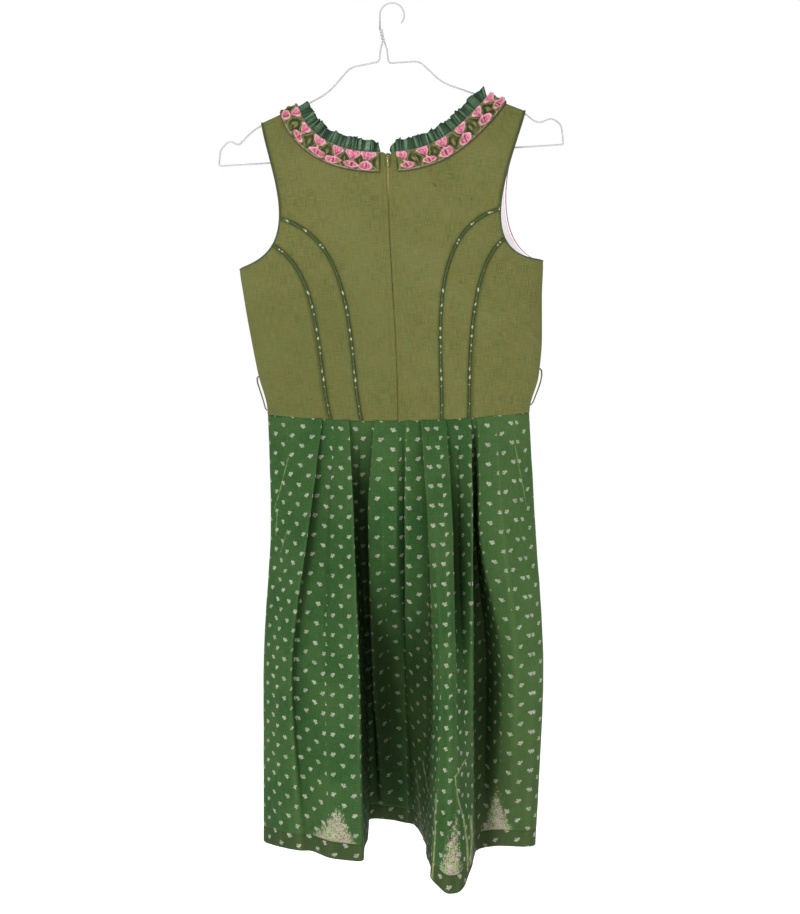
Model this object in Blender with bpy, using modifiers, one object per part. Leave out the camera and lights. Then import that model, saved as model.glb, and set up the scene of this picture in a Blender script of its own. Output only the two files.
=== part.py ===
"""A dirndl dress on a bent wire hanger.

The tables are in millimetres and the meshes in metres.  +Z is up, the dress's
back faces -Y and the wearer's right is +X.  The origin is the inside of the
hanger's hook, where a rail carries it.
"""
import math

import bmesh
import bpy
from mathutils import Matrix, Vector

MM = 0.001

# ---------------------------------------------------------------- cloth and gaps
WALL = 1.2              # thickness of every cloth wall
GAP = 0.3               # air left between two pieces that meet
PIPING_RADIUS = 1.25    # cord under the bias strip in the back seams
PIPING_RISE = 0.8       # how far the piping's middle stands out of the wall
BINDING_RADIUS = 1.0    # bound edge of the armholes
THREAD_RADIUS = 0.6     # belt loops of crocheted thread
THREAD_LOOP = (         # share of a belt loop's height, and how far it stands off the seam
    (0.0, 1.3), (0.06, 3.2), (0.2, 4.2), (0.45, 4.3), (0.7, 4.0), (0.92, 3.2), (1.0, 1.3),
)

# ---------------------------------------------------------------- hanger (x, z)
WIRE_RADIUS = 1.1
HOOK_INNER_RADIUS = 14.5
HOOK_TIP_ANGLE = -38.0          # degrees below level where the hook ends
HOOK_STEPS = 12
TWIST_TOP = (-14.3, -33.0)
TWIST_FOOT = (-10.9, -49.0)
TWIST_TURNS = 2
TWIST_RADIUS = 1.3              # from the twist's axis to each strand
SHOULDER_BEND_LEFT = (-106.2, -127.5)
SHOULDER_END_LEFT = (-172.8, -158.6)
SHOULDER_BEND_RIGHT = (101.6, -113.5)
SHOULDER_END_RIGHT = (170.0, -139.9)
WIRE_LEFT = (       # from the twist out to the left end, and its bend radius
    (-14.6, -57.6, 6), (-16.3, -74.0, 5), (-53.4, -81.5, 8), (-81.3, -113.5, 12),
    SHOULDER_BEND_LEFT + (20,), SHOULDER_END_LEFT + (8,), (-185.2, -169.3, 6),
    (-196.5, -181.5, 5), (-207.5, -175.0, 6), (-219.6, -186.0, 6), (-221.4, -207.7, 3),
)
WIRE_RIGHT = (      # from the twist out to the right end, and its bend radius
    (-6.6, -57.6, 6), (-4.6, -76.0, 5), (34.9, -73.2, 8), (64.5, -101.1, 12),
    SHOULDER_BEND_RIGHT + (20,), SHOULDER_END_RIGHT + (8,), (180.7, -149.2, 6),
    (189.0, -152.6, 6), (204.5, -145.6, 7), (216.6, -154.8, 6), (219.4, -180.0, 3),
)
SEAM_ABOVE_WIRE = 2.4           # shoulder seam over the middle of the wire

# ---------------------------------------------------------------- bodice form
BODY = (    # height, left side x, right side x, depth of the back, of the front
    (-700.0, -158.8, 175.5, 42.0, 44.0),
    (-522.0, -158.8, 175.5, 42.0, 44.0),
    (-475.0, -170.4, 187.4, 40.0, 50.0),
    (-425.0, -180.4, 191.5, 38.0, 60.0),
    (-375.0, -189.2, 191.5, 37.0, 64.0),
    (-335.0, -194.5, 192.9, 36.0, 54.0),
    (-200.0, -194.5, 192.9, 30.0, 36.0),
    (-60.0, -194.5, 192.9, 30.0, 34.0),
)
FULL_DEPTH_FALL = 85.0      # below the shoulder seam the form has its whole depth
RIDGE_START = 0.6           # where a wall's edge leans against the shoulder seam
RIDGE_DEPTH = 2.3           # cloth folded over the wire, out from there
RIDGE_FALL = 3.0            # height that this fold takes
WAIST_LEFT = -525.7
WAIST_RIGHT = -522.8
WAIST_SAG = 10.7

# ---------------------------------------------------------------- edges (x, z)
# A neckline or armhole starts on the shoulder seam, at the x that its row gives.
NECK_BACK_LEFT = (-119.0, (-104.1, -186.7), (-54.0, -198.7), (-4.8, -196.5))
NECK_BACK_RIGHT = (121.6, (84.3, -166.5), (58.1, -194.8), (-4.8, -196.5))
NECK_FRONT_LEFT = (-119.0, (-112.0, -208.0), (-76.0, -262.0), (6.0, -262.0))
NECK_FRONT_RIGHT = (121.6, (110.0, -204.0), (84.0, -262.0), (6.0, -262.0))
ARMHOLE_BACK_LEFT = (-166.4, (-156.6, -212.2), (-102.3, -321.0), (-193.9, -340.1))
ARMHOLE_BACK_RIGHT = (170.0, (157.6, -189.7), (90.0, -331.3), (192.6, -329.0))
ARMHOLE_FRONT_LEFT = (-166.4, (-150.0, -212.0), (-98.0, -323.0), (-193.9, -340.1))
ARMHOLE_FRONT_RIGHT = (170.0, (147.9, -187.5), (124.0, -301.0), (192.6, -329.0))
CENTRE_BACK = (7.6, (7.9, -421.7), (-6.5, -309.9), (-4.8, -196.5))
CENTRE_FRONT = (8.0, (8.0, -440.0), (6.0, -350.0), (6.0, -262.0))
SEAMS = {   # x at the waist, two handles, and where along the armhole it ends
    "back_inner_left": (-37.7, (-57.0, -450.3), (-38.7, -310.0), 0.580),
    "back_outer_left": (-76.2, (-96.3, -451.2), (-85.9, -350.4), 0.757),
    "back_inner_right": (62.2, (65.7, -450.0), (36.3, -295.5), 0.553),
    "back_outer_right": (96.7, (97.6, -474.8), (94.0, -338.5), 0.731),
    "front_left": (-52.0, (-62.0, -450.0), (-92.0, -330.0), 0.60),
    "front_right": (68.0, (78.0, -450.0), (104.0, -330.0), 0.62),
}

# ---------------------------------------------------------------- trim and ruffle
TRIM_WIDTH = 26.0
TRIM_START = 10.0           # from the centre-back line, along the neckline
TRIM_PITCH = 23.5           # one box pleat of the folded ribbon
TRIM_STEPS = 3              # bends along each pleat
TRIM_EDGE = 0.4             # from the neckline to the ribbon's edge
TRIM_FLAT = 0.9             # ribbon alone
TRIM_MOUTH = 3.4            # height that a pinched pleat stands up
TRIM_PROFILE = (            # share of the width, how far the pleat opens there
    (0.0, 0.25), (0.26, 1.0), (0.5, 0.7), (0.74, 1.0), (1.0, 0.25),
)
RUFFLE_HEIGHT = 16.0
RUFFLE_PITCH = 12.0
RUFFLE_WAVE = 3.0           # how far a gather swings to each side
RUFFLE_WALL = 0.8
RUFFLE_START = 4.0

# ---------------------------------------------------------------- zip
ZIP_CHANNEL = 1.8           # half the opening above the closed cloth edges
ZIP_OPEN_TO = -258.0        # the edges meet below this height
ZIP_WIDTH = 6.0
ZIP_THICKNESS = 1.0
SLIDER_Z = -204.5
SLIDER_SIZE = (4.8, 7.5, 1.0)       # wide, tall, thick
LUG_SIZE = (0.7, 2.4, 2.0)
LUG_HALF_SPAN = 1.5
TAB_AXIS_OUT = 1.2                  # hinge line in front of the slider's plate
TAB_BARREL_RADIUS = 0.7
TAB_NECK_WIDTH = 1.6
TAB_WIDTH = 3.8
TAB_LENGTH = 13.0
TAB_THICKNESS = 0.9
STOP_SIZE = (3.0, 1.8, 1.6)

# ---------------------------------------------------------------- skirt
SKIRT_LEVELS = (0.0, 0.235, 0.60, 1.0)      # share of the length: waist, hip, knee, hem
SKIRT_ROWS = (0.0, 0.03, 0.09, 0.18, 0.3, 0.46, 0.62, 0.81, 1.0)
FOLD_RADII = (2.2, 4.0, 8.0, 9.0)           # rounding of a fold at each level
# Each row is one bend of the cloth, seen from above and listed round the hem:
# name, waist x and its step out of (-) or into (+) the form, then x and y at
# the hip, the knee and the hem, and the height of the hem there.
BACK_LEFT_FOLDS = (
    ("side", -158.0, 0.0, -155, 2, -165, 4, -165, 8, -1075),
    ("left_panel", -132.0, 0.0, -133, -24, -147, -22, -142, -25, -1072),
    ("pleat_a_edge", -86.3, -1.8, -102, -52, -125, -42, -114, -44, -1072),
    ("pleat_a_under", -89.0, 1.8, -107, -26, -124, -22, -101, -41, -1072),
    ("panel_ab", -72.5, 0.0, -78, -38, -83, -50, -76, -66, -1075),
    ("pleat_b_edge", -53.0, -1.8, -47, -62, -39, -82, -35, -74, -1077),
    ("pleat_b_under", -55.6, 1.8, -53, -8, -40, 20, -31, 5, -1069),
    ("recess_floor", -41.0, 2.0, -43, 6, -35, 58, -31, 84, -1065),
    ("pleat_c_under", -19.6, 1.8, -27, 4, -23, 62, -20, 86, -1065),
    ("pleat_c_edge", -22.0, -1.8, -30, -38, -27, 24, -11, 85, -1066),
    ("panel_cd", -7.5, -1.0, -11, -45, -6, 40, 2, 82, -1066),
    ("centre_edge", 6.2, -1.0, 5, -47, 11, 46, 16, 77, -1068),
)
BACK_RIGHT_FOLDS = (
    ("centre_under", 13.0, 0.8, 18, -32, 21, 48, 28, 70, -1068),
    ("pleat_d_edge", 18.5, -1.8, 16, -54, 17, 12, 35, 44, -1068),
    ("pleat_e_under", 38.6, 1.8, 48, -46, 48, -26, 40, 10, -1070),
    ("pleat_e_edge", 36.0, -1.8, 44, -72, 51, -90, 43, -62, -1073),
    ("lobe_left", 48.0, -1.0, 54, -77, 59, -118, 47, -138, -1079),
    ("lobe_middle", 57.5, -1.0, 65, -79, 69, -127, 64, -157, -1091),
    ("pleat_f_edge", 68.4, -1.8, 75, -76, 77, -126, 79, -155, -1090),
    ("pleat_f_under", 65.8, 1.8, 73, -34, 80, -102, 86, -145, -1086),
    ("panel_fg", 83.0, 0.0, 85, -36, 88, -92, 91, -128, -1079),
    ("pleat_g_edge", 99.5, -1.8, 100, -60, 98, -94, 99, -92, -1072),
    ("pleat_g_under", 97.0, 1.8, 101, -10, 105, 8, 104, -46, -1072),
    ("wedge_floor", 104.0, 2.0, 106, -3, 121, 22, 112, -27, -1073),
    ("wedge_bank", 109.0, -0.5, 109, -42, 140, -24, 133, -20, -1072),
    ("right_panel", 130.0, -1.0, 138, -44, 156, -33, 151, -22, -1072),
    ("right_soft", 155.0, 0.0, 162, -26, 178, -20, 171, -22, -1073),
    ("side", 174.8, 0.0, 182, -4, 193.5, -4, 183, -8, -1075),
)
FRONT_FOLDS = (
    ("side", 174.8, 0.0, 182, 14, 193.5, 16, 184, 18, -1075),
    ("crest_1", 150.0, -1.0, 160, 58, 170, 76, 172, 86, -1075),
    ("valley_1", 138.0, 1.5, 142, 38, 144, 46, 148, 56, -1072),
    ("crest_2", 116.0, -1.5, 122, 72, 128, 104, 128, 120, -1078),
    ("valley_2", 102.0, 1.5, 98, 48, 100, 62, 103, 82, -1073),
    ("crest_3", 74.0, -1.5, 76, 76, 78, 116, 78, 140, -1079),
    ("valley_3", 62.0, 1.5, 54, 52, 54, 78, 54, 102, -1074),
    ("crest_4", 26.0, -1.5, 27, 78, 25, 122, 26, 158, -1080),
    ("valley_4", 10.0, 1.5, 7, 58, 7, 96, 6, 132, -1076),
    ("crest_5", -10.0, -1.5, -13, 78, -16, 124, -18, 160, -1080),
    ("valley_5", -28.0, 1.5, -38, 52, -39, 88, -37, 116, -1074),
    ("crest_6", -52.0, -1.5, -57, 74, -63, 112, -67, 138, -1079),
    ("valley_6", -72.0, 1.5, -83, 46, -84, 64, -86, 78, -1073),
    ("crest_7", -96.0, -1.5, -101, 70, -112, 98, -112, 114, -1078),
    ("valley_7", -116.0, 1.5, -122, 40, -128, 50, -130, 60, -1073),
    ("crest_8", -136.0, -1.0, -142, 52, -150, 64, -150, 76, -1076),
    ("side", -158.0, 0.0, -155, 18, -165, 22, -166, 28, -1075),
)
FLAT_WAIST_LEFT = -158.8
FLAT_WAIST_RIGHT = 175.5

COLOURS = {     # linear red, green and blue, roughness, metallic
    "linen": ((0.172, 0.190, 0.050), 0.9, 0.0),
    "print": ((0.048, 0.160, 0.048), 0.8, 0.0),
    "piping": ((0.038, 0.110, 0.040), 0.7, 0.0),
    "ruffle": ((0.045, 0.140, 0.062), 0.6, 0.0),
    "ribbon": ((0.420, 0.260, 0.220), 0.6, 0.0),
    "lining": ((0.800, 0.720, 0.740), 0.8, 0.0),
    "coil": ((0.300, 0.260, 0.070), 0.4, 0.0),
    "metal": ((0.380, 0.380, 0.170), 0.35, 0.9),
    "wire": ((0.740, 0.680, 0.680), 0.45, 0.2),
}


# ---------------------------------------------------------------- small mathematics
def lerp(a, b, share):
    """The value share of the way from a to b."""
    return a + (b - a) * share


def bezier(points, t):
    """A point of the cubic with these four (x, z) control points."""
    weights = ((1 - t) ** 3, 3 * t * (1 - t) ** 2, 3 * t * t * (1 - t), t ** 3)
    return tuple(sum(w * p[axis] for w, p in zip(weights, points)) for axis in (0, 1))


def smooth(places, values, at):
    """A curve through the values that never swings past them."""
    if at <= places[0]:
        return values[0]
    if at >= places[-1]:
        return values[-1]
    steps = [b - a for a, b in zip(places, places[1:])]
    slopes = [(b - a) / step for a, b, step in zip(values, values[1:], steps)]
    tangents = [slopes[0]]
    for before, after in zip(slopes, slopes[1:]):
        same_way = before * after > 0
        tangents.append(2 * before * after / (before + after) if same_way else 0.0)
    tangents.append(slopes[-1])
    index = max(i for i, place in enumerate(places[:-1]) if place <= at)
    t = (at - places[index]) / steps[index]
    rise = tangents[index] * steps[index]
    fall = tangents[index + 1] * steps[index]
    return ((2 * t ** 3 - 3 * t * t + 1) * values[index] + (t ** 3 - 2 * t * t + t) * rise
            + (3 * t * t - 2 * t ** 3) * values[index + 1] + (t ** 3 - t * t) * fall)


def rounded(points):
    """An (x, z) path through points given with bend radii, its corners rounded."""
    path = []
    for index, (x, z, radius) in enumerate(points):
        corner = Vector((x, z))
        if index in (0, len(points) - 1):
            path.append(corner)
            continue
        arms = []
        for other in (points[index - 1], points[index + 1]):
            arm = Vector(other[:2]) - corner
            arms.append(arm.normalized() * min(radius, arm.length * 0.45))
        start, end = corner + arms[0], corner + arms[1]
        for t in (0.0, 0.5, 1.0):
            path.append(lerp(lerp(start, corner, t), lerp(corner, end, t), t))
    return path


# ---------------------------------------------------------------- meshes and curves
def material(name):
    """The plain material of a colour row."""
    colour, roughness, metallic = COLOURS[name]
    made = bpy.data.materials.get(name) or bpy.data.materials.new(name)
    made.use_nodes = True
    shader = made.node_tree.nodes["Principled BSDF"]
    shader.inputs["Base Color"].default_value = (*colour, 1.0)
    shader.inputs["Roughness"].default_value = roughness
    shader.inputs["Metallic"].default_value = metallic
    return made


def add_object(name, data, colour):
    """An object of the dress's collection with its material."""
    made = bpy.data.objects.new(name, data)
    data.materials.append(material(colour))
    bpy.data.collections["dirndl_dress"].objects.link(made)
    return made


def grid_mesh(name, grids):
    """Quads over one or more grids of points in millimetres, joined where they meet."""
    form = bmesh.new()
    for grid in grids:
        rows = [[form.verts.new(Vector(point) * MM) for point in row] for row in grid]
        for low, high in zip(rows, rows[1:]):
            for i in range(len(low) - 1):
                form.faces.new((low[i], low[i + 1], high[i + 1], high[i]))
    bmesh.ops.remove_doubles(form, verts=form.verts, dist=0.00001)
    bmesh.ops.recalc_face_normals(form, faces=form.faces)
    mesh = bpy.data.meshes.new(name)
    form.to_mesh(mesh)
    form.free()
    mesh.shade_smooth()
    return mesh


def add_wall(name, grids, colour, thickness=WALL):
    """A cloth wall with the grids as its middle surface."""
    wall = add_object(name, grid_mesh(name, grids), colour)
    shell = wall.modifiers.new("cloth", "SOLIDIFY")
    shell.thickness = thickness * MM
    shell.offset = 0.0
    return wall


def add_layers(name, inside, outside, colour):
    """A closed piece between two grids of the same size."""
    form = bmesh.new()
    layers = []
    for grid in (inside, outside):
        layers.append([[form.verts.new(Vector(p) * MM) for p in row] for row in grid])
    for rows in layers:
        for low, high in zip(rows, rows[1:]):
            for i in range(len(low) - 1):
                form.faces.new((low[i], low[i + 1], high[i + 1], high[i]))
    rims = []
    for rows in layers:
        rims.append(rows[0] + [row[-1] for row in rows[1:]] + rows[-1][-2::-1]
                    + [row[0] for row in rows[-2:0:-1]])
    for i, corner in enumerate(rims[0]):
        after = (i + 1) % len(rims[0])
        form.faces.new((corner, rims[0][after], rims[1][after], rims[1][i]))
    bmesh.ops.recalc_face_normals(form, faces=form.faces)
    mesh = bpy.data.meshes.new(name)
    form.to_mesh(mesh)
    form.free()
    mesh.shade_smooth()
    return add_object(name, mesh, colour)


def add_tube(name, points, radius, colour, closed=False, resolution=1):
    """A round cord or wire along points in millimetres."""
    curve = bpy.data.curves.new(name, "CURVE")
    curve.dimensions = "3D"
    curve.bevel_depth = radius * MM
    curve.bevel_resolution = resolution
    curve.use_fill_caps = not closed
    spline = curve.splines.new("POLY")
    spline.points.add(len(points) - 1)
    for spot, point in zip(spline.points, points):
        spot.co = (*(Vector(point) * MM), 1.0)
    spline.use_cyclic_u = closed
    return add_object(name, curve, colour)


def cube(centre, size):
    """A block in millimetres as its own mesh object, to be joined to another."""
    form = bmesh.new()
    bmesh.ops.create_cube(form, size=MM)
    bmesh.ops.scale(form, vec=size, verts=form.verts)
    bmesh.ops.translate(form, vec=Vector(centre) * MM, verts=form.verts)
    mesh = bpy.data.meshes.new("block")
    form.to_mesh(mesh)
    form.free()
    return mesh


def join_blocks(name, meshes, colour, place=Vector()):
    """One solid from blocks that overlap, by union, with its origin at a place."""
    body = add_object(name, meshes[0], colour)
    body.location = place * MM
    for mesh in meshes[1:]:
        tool = bpy.data.objects.new("joined", mesh)
        tool.location = place * MM
        bpy.data.collections["tools"].objects.link(tool)
        tool.hide_render = True
        tool.display_type = "WIRE"
        union = body.modifiers.new("join", "BOOLEAN")
        union.operation = "UNION"
        union.object = tool
    return body


# ---------------------------------------------------------------- the bodice's form
def column(index):
    """One column of the body table, lowest row first."""
    return [row[index] for row in BODY]


def sides(z):
    """The left and right side of the form at a height."""
    return tuple(smooth(column(0), column(i), z) for i in (1, 2))


def shoulder_height(x):
    """Height of the shoulder seams and of their lines on towards the neck."""
    heights = []
    for bend, end in ((SHOULDER_BEND_LEFT, SHOULDER_END_LEFT),
                      (SHOULDER_BEND_RIGHT, SHOULDER_END_RIGHT)):
        slope = (bend[1] - end[1]) / (bend[0] - end[0])
        heights.append(end[1] + slope * (x - end[0]))
    return min(heights) + SEAM_ABOVE_WIRE


def waist_height(x):
    """Height of the waist seam, which sags at the middle."""
    share = (x - FLAT_WAIST_LEFT) / (FLAT_WAIST_RIGHT - FLAT_WAIST_LEFT)
    return lerp(WAIST_LEFT, WAIST_RIGHT, share) - WAIST_SAG * 4 * share * (1 - share)


def angle_at(x, z):
    """The turn round the form from its middle, at an x seen from behind."""
    left, right = sides(z)
    share = (2 * x - left - right) / (right - left)
    return math.asin(max(-1.0, min(1.0, share)))


def form_point(face, angle, z):
    """A point of the middle surface: face is -1 for the back and 1 for the front."""
    left, right = sides(z)
    x = (left + right) / 2 + (right - left) / 2 * math.sin(angle)
    fall = max(0.0, shoulder_height(x) - z)
    ridge = math.sqrt(max(0.0, 1 - (1 - min(fall / RIDGE_FALL, 1.0)) ** 2))
    over_wire = (RIDGE_START + RIDGE_DEPTH * ridge) * min(1.0, 2.5 * math.cos(angle))
    depth = smooth(column(0), column(3 if face < 0 else 4), z)
    fullness = math.sin(math.pi / 2 * min(1.0, fall / FULL_DEPTH_FALL))
    return Vector((x, face * (over_wire + depth * math.cos(angle) * fullness), z))


def on_form(face, x, z):
    """The form's point behind or before this (x, z)."""
    return form_point(face, angle_at(x, z), z)


def outward(face, x, z):
    """The form's outward direction at this (x, z)."""
    step = 1.0
    across = on_form(face, x + step, z) - on_form(face, x - step, z)
    upward = on_form(face, x, z + step) - on_form(face, x, z - step)
    normal = across.cross(upward).normalized()
    return normal if normal.y * face > 0 else -normal


def edge_curve(row):
    """The four control points of a neckline or an armhole."""
    shoulder_x, *others = row
    return ((shoulder_x, shoulder_height(shoulder_x)), *others)


def armhole_curve(row):
    """The four control points of an armhole, which ends on the side seam."""
    *points, (x, z) = edge_curve(row)
    left, right = sides(z)
    return (*points, (left if x < 0 else right, z))


def seam_curve(name):
    """The four control points of a seam from the waist to its armhole."""
    waist_x, low, high, share = SEAMS[name]
    face, side = name.split("_")[0], name.split("_")[-1]
    armhole = {"back_left": ARMHOLE_BACK_LEFT, "back_right": ARMHOLE_BACK_RIGHT,
               "front_left": ARMHOLE_FRONT_LEFT, "front_right": ARMHOLE_FRONT_RIGHT}
    end = bezier(armhole_curve(armhole[face + "_" + side]), share)
    return ((waist_x, waist_height(waist_x)), low, high, end)


def centre_curve(row):
    """The centre line from the waist to the neckline."""
    waist_x, low, high, end = row
    return ((waist_x, waist_height(waist_x)), low, high, end)


# ---------------------------------------------------------------- panels
def along(curve, start=0.0, end=1.0):
    """A function that runs from one share of a curve to another."""
    return lambda t: bezier(curve, lerp(start, end, t))


def side_line(is_left, top):
    """The side seam from the waist up to the underarm."""
    bottom_x = FLAT_WAIST_LEFT if is_left else FLAT_WAIST_RIGHT

    def at(t):
        z = lerp(waist_height(bottom_x), top[1], t)
        return sides(z)[0 if is_left else 1], z
    return at


def chain(first, second, share):
    """Two edge functions, one after the other."""
    return lambda t: first(t / share) if t <= share else second((t - share) / (1 - share))


def waist_line(start_x, end_x):
    """The waist seam between two of its places, in even turns, half a gap above it."""
    middle = (FLAT_WAIST_LEFT + FLAT_WAIST_RIGHT) / 2
    half = (FLAT_WAIST_RIGHT - FLAT_WAIST_LEFT) / 2
    start, end = (math.asin((x - middle) / half) for x in (start_x, end_x))

    def at(t):
        x = middle + half * math.sin(lerp(start, end, t))
        return x, waist_height(x) + GAP / 2
    return at


def shoulder_line(start_x, end_x):
    """The shoulder seam between two of its places."""
    def at(t):
        x = lerp(start_x, end_x, t)
        return x, shoulder_height(x)
    return at


def panel_grid(face, edges, columns, rows, insets, top_inset=0.0):
    """Points of a panel between its left, right, bottom and top edges.

    columns and rows are shares of the width and height.  insets gives how far
    the cloth stops short of its left and right edge at a share of the height.
    """
    left, right, bottom, top = edges

    def turned(spot):
        return Vector((angle_at(*spot), spot[1]))

    def surface(u, v):
        sides_part = lerp(turned(left(v)), turned(right(v)), u)
        ends_part = lerp(turned(bottom(u)), turned(top(u)), v)
        low = lerp(turned(left(0)), turned(right(0)), u)
        high = lerp(turned(left(1)), turned(right(1)), u)
        spot = sides_part + ends_part - lerp(low, high, v)
        return form_point(face, spot.x, spot.y)

    def share_in(v, edge, distance):
        """How far along a row to be a square distance inside the edge's two runs."""
        here = surface(edge, v)
        runs = [(surface(edge, other) - here).normalized()
                for other in (max(0.0, v - step), min(1.0, v + step)) if other != v]
        low, high = 0.0, 0.4
        for _ in range(24):
            middle = (low + high) / 2
            off = surface(lerp(edge, 1 - edge, middle), v) - here
            if min((off - run * off.dot(run)).length for run in runs) < distance:
                low = middle
            else:
                high = middle
        return high

    def share_down(u, distance):
        """How far down a column to be a square distance below the top edge."""
        down = (surface(u, 1 - step) - surface(u, 1)) / step
        run = surface(min(1.0, u + step), 1) - surface(max(0.0, u - step), 1)
        return distance / (down.length * math.sin(run.angle(down)))

    grid = []
    step = 0.01
    for v in rows:
        line = []
        start, end = (share_in(v, edge, inset) for edge, inset in zip((0, 1), insets(v)))
        for column_share in columns:
            u = lerp(start, 1 - end, column_share)
            height = 1 - share_down(u, top_inset) if v == 1.0 else v
            line.append(surface(u, height))
        grid.append(line)
    return grid


SEAM_INSET = PIPING_RADIUS + GAP        # cloth ends beside the piping
EDGE_INSET = BINDING_RADIUS + GAP       # cloth ends inside the binding
LOW_STEPS = 9
LOW_ROWS = tuple(i / LOW_STEPS for i in range(LOW_STEPS + 1))
CORNER = 0.58                           # share of the height at a panel's side corner
SHOULDER_ROWS = (0.14, 0.28, 0.42, 0.56, 0.7, 0.83, 0.93, 0.975, 0.99, 1.0)
NECK_SHARES = tuple(1 - row for row in SHOULDER_ROWS[::-1]) + (1.0,)
TALL_ROWS = tuple(CORNER * row for row in LOW_ROWS) + tuple(
    lerp(CORNER, 1.0, row) for row in SHOULDER_ROWS)
CENTRE_COLUMNS = (0.0, 0.2, 0.4, 0.6, 0.8, 1.0)
MID_COLUMNS = (0.0, 1 / 3, 2 / 3, 1.0)
SIDE_COLUMNS = (0.0, 0.22, 0.44, 0.64, 0.82, 0.96, 1.0)      # closest at the side seam
SIDE_INSET = 0.45                       # the walls meet at an angle at the side seams


def side_columns(is_left):
    """The side panels' columns from their left edge, which is the side seam on the left."""
    return tuple(1 - column for column in SIDE_COLUMNS[::-1]) if is_left else SIDE_COLUMNS


def armhole_shares(face, side):
    """Where the panels' corners lie along an armhole, from shoulder to underarm."""
    if face < 0:
        inner, outer = (SEAMS[seam + side][3] for seam in ("back_inner_", "back_outer_"))
    else:
        inner = outer = SEAMS["front_" + side][3]
    shares = [inner * share for share in NECK_SHARES[:-1]]
    if outer > inner:
        shares += [lerp(inner, outer, column) for column in MID_COLUMNS[:-1]]
    return shares + [lerp(outer, 1.0, column) for column in SIDE_COLUMNS]


def centre_inset(v):
    """Half the zip's opening, wide over the open coil and closed below it."""
    z = bezier(centre_curve(CENTRE_BACK), min(1.0, v / CORNER))[1]
    if v > CORNER:
        return 0.0
    share = max(0.0, min(1.0, (z - ZIP_OPEN_TO) / 25.0))
    return lerp(GAP, ZIP_CHANNEL, share)


def make_back_panels():
    """Six panels of the bodice's back, from the zip to each side seam."""
    for side in ("left", "right"):
        is_left = side == "left"
        inner = seam_curve("back_inner_" + side)
        outer = seam_curve("back_outer_" + side)
        armhole = armhole_curve(ARMHOLE_BACK_LEFT if is_left else ARMHOLE_BACK_RIGHT)
        neck = edge_curve(NECK_BACK_LEFT if is_left else NECK_BACK_RIGHT)
        inner_end = SEAMS["back_inner_" + side][3]
        outer_end = SEAMS["back_outer_" + side][3]
        centre = centre_curve(CENTRE_BACK)

        arm_side = chain(along(inner), along(armhole, inner_end, 0.0), CORNER)
        zip_side = chain(along(centre), along(neck, 1.0, 0.0), CORNER)
        edges = [arm_side, zip_side, waist_line(inner[0][0], centre[0][0]),
                 shoulder_line(armhole[0][0], neck[0][0])]
        if not is_left:
            edges = [zip_side, arm_side, waist_line(centre[0][0], inner[0][0]),
                     shoulder_line(neck[0][0], armhole[0][0])]

        def centre_insets(v, is_left=is_left):
            arm = SEAM_INSET if v <= CORNER else EDGE_INSET
            pair = (arm, centre_inset(v))
            return pair if is_left else pair[::-1]

        add_wall("back_centre_" + side,
                 [panel_grid(-1, edges, CENTRE_COLUMNS, TALL_ROWS, centre_insets)], "linen")

        order = 1 if is_left else -1
        middle = (along(outer), along(inner))[::order]
        middle_waist = (outer[0][0], inner[0][0])[::order]
        middle_arm = (outer_end, inner_end)[::order]
        edges = [*middle, waist_line(*middle_waist), along(armhole, *middle_arm)]
        add_wall("back_mid_" + side,
                 [panel_grid(-1, edges, MID_COLUMNS, LOW_ROWS, lambda v: (SEAM_INSET, SEAM_INSET),
                             EDGE_INSET)], "linen")

        waist_x = FLAT_WAIST_LEFT if is_left else FLAT_WAIST_RIGHT
        outside = (side_line(is_left, armhole[3]), along(outer))[::order]
        outside_waist = (waist_x, outer[0][0])[::order]
        outside_arm = (1.0, outer_end)[::order]
        edges = [*outside, waist_line(*outside_waist), along(armhole, *outside_arm)]
        insets = (SIDE_INSET, SEAM_INSET)[::order]
        add_wall("back_side_" + side,
                 [panel_grid(-1, edges, side_columns(is_left), LOW_ROWS,
                             lambda v, pair=insets: pair, EDGE_INSET)], "linen")


def make_front_panels():
    """The bodice's front: one middle panel and a side panel on each side."""
    halves = []
    for side in ("left", "right"):
        is_left = side == "left"
        order = 1 if is_left else -1
        seam = seam_curve("front_" + side)
        seam_end = SEAMS["front_" + side][3]
        armhole = armhole_curve(ARMHOLE_FRONT_LEFT if is_left else ARMHOLE_FRONT_RIGHT)
        neck = edge_curve(NECK_FRONT_LEFT if is_left else NECK_FRONT_RIGHT)
        centre = centre_curve(CENTRE_FRONT)
        arm_side = chain(along(seam), along(armhole, seam_end, 0.0), CORNER)
        middle = chain(along(centre), along(neck, 1.0, 0.0), CORNER)
        waist = (seam[0][0], centre[0][0])[::order]
        top = (armhole[0][0], neck[0][0])[::order]
        edges = [*(arm_side, middle)[::order], waist_line(*waist), shoulder_line(*top)]

        def insets(v, order=order):
            return ((GAP / 2 if v < CORNER else EDGE_INSET), 0.0)[::order]

        halves.append(panel_grid(1, edges, CENTRE_COLUMNS, TALL_ROWS, insets))

        waist_x = FLAT_WAIST_LEFT if is_left else FLAT_WAIST_RIGHT
        outside = (side_line(is_left, armhole[3]), along(seam))[::order]
        outside_waist = (waist_x, seam[0][0])[::order]
        outside_arm = (1.0, seam_end)[::order]
        edges = [*outside, waist_line(*outside_waist), along(armhole, *outside_arm)]
        insets = (SIDE_INSET, GAP / 2)[::order]
        add_wall("front_side_" + side,
                 [panel_grid(1, edges, side_columns(is_left), LOW_ROWS,
                             lambda v, pair=insets: pair, EDGE_INSET)], "linen")
    add_wall("front_centre", halves, "linen")


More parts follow.
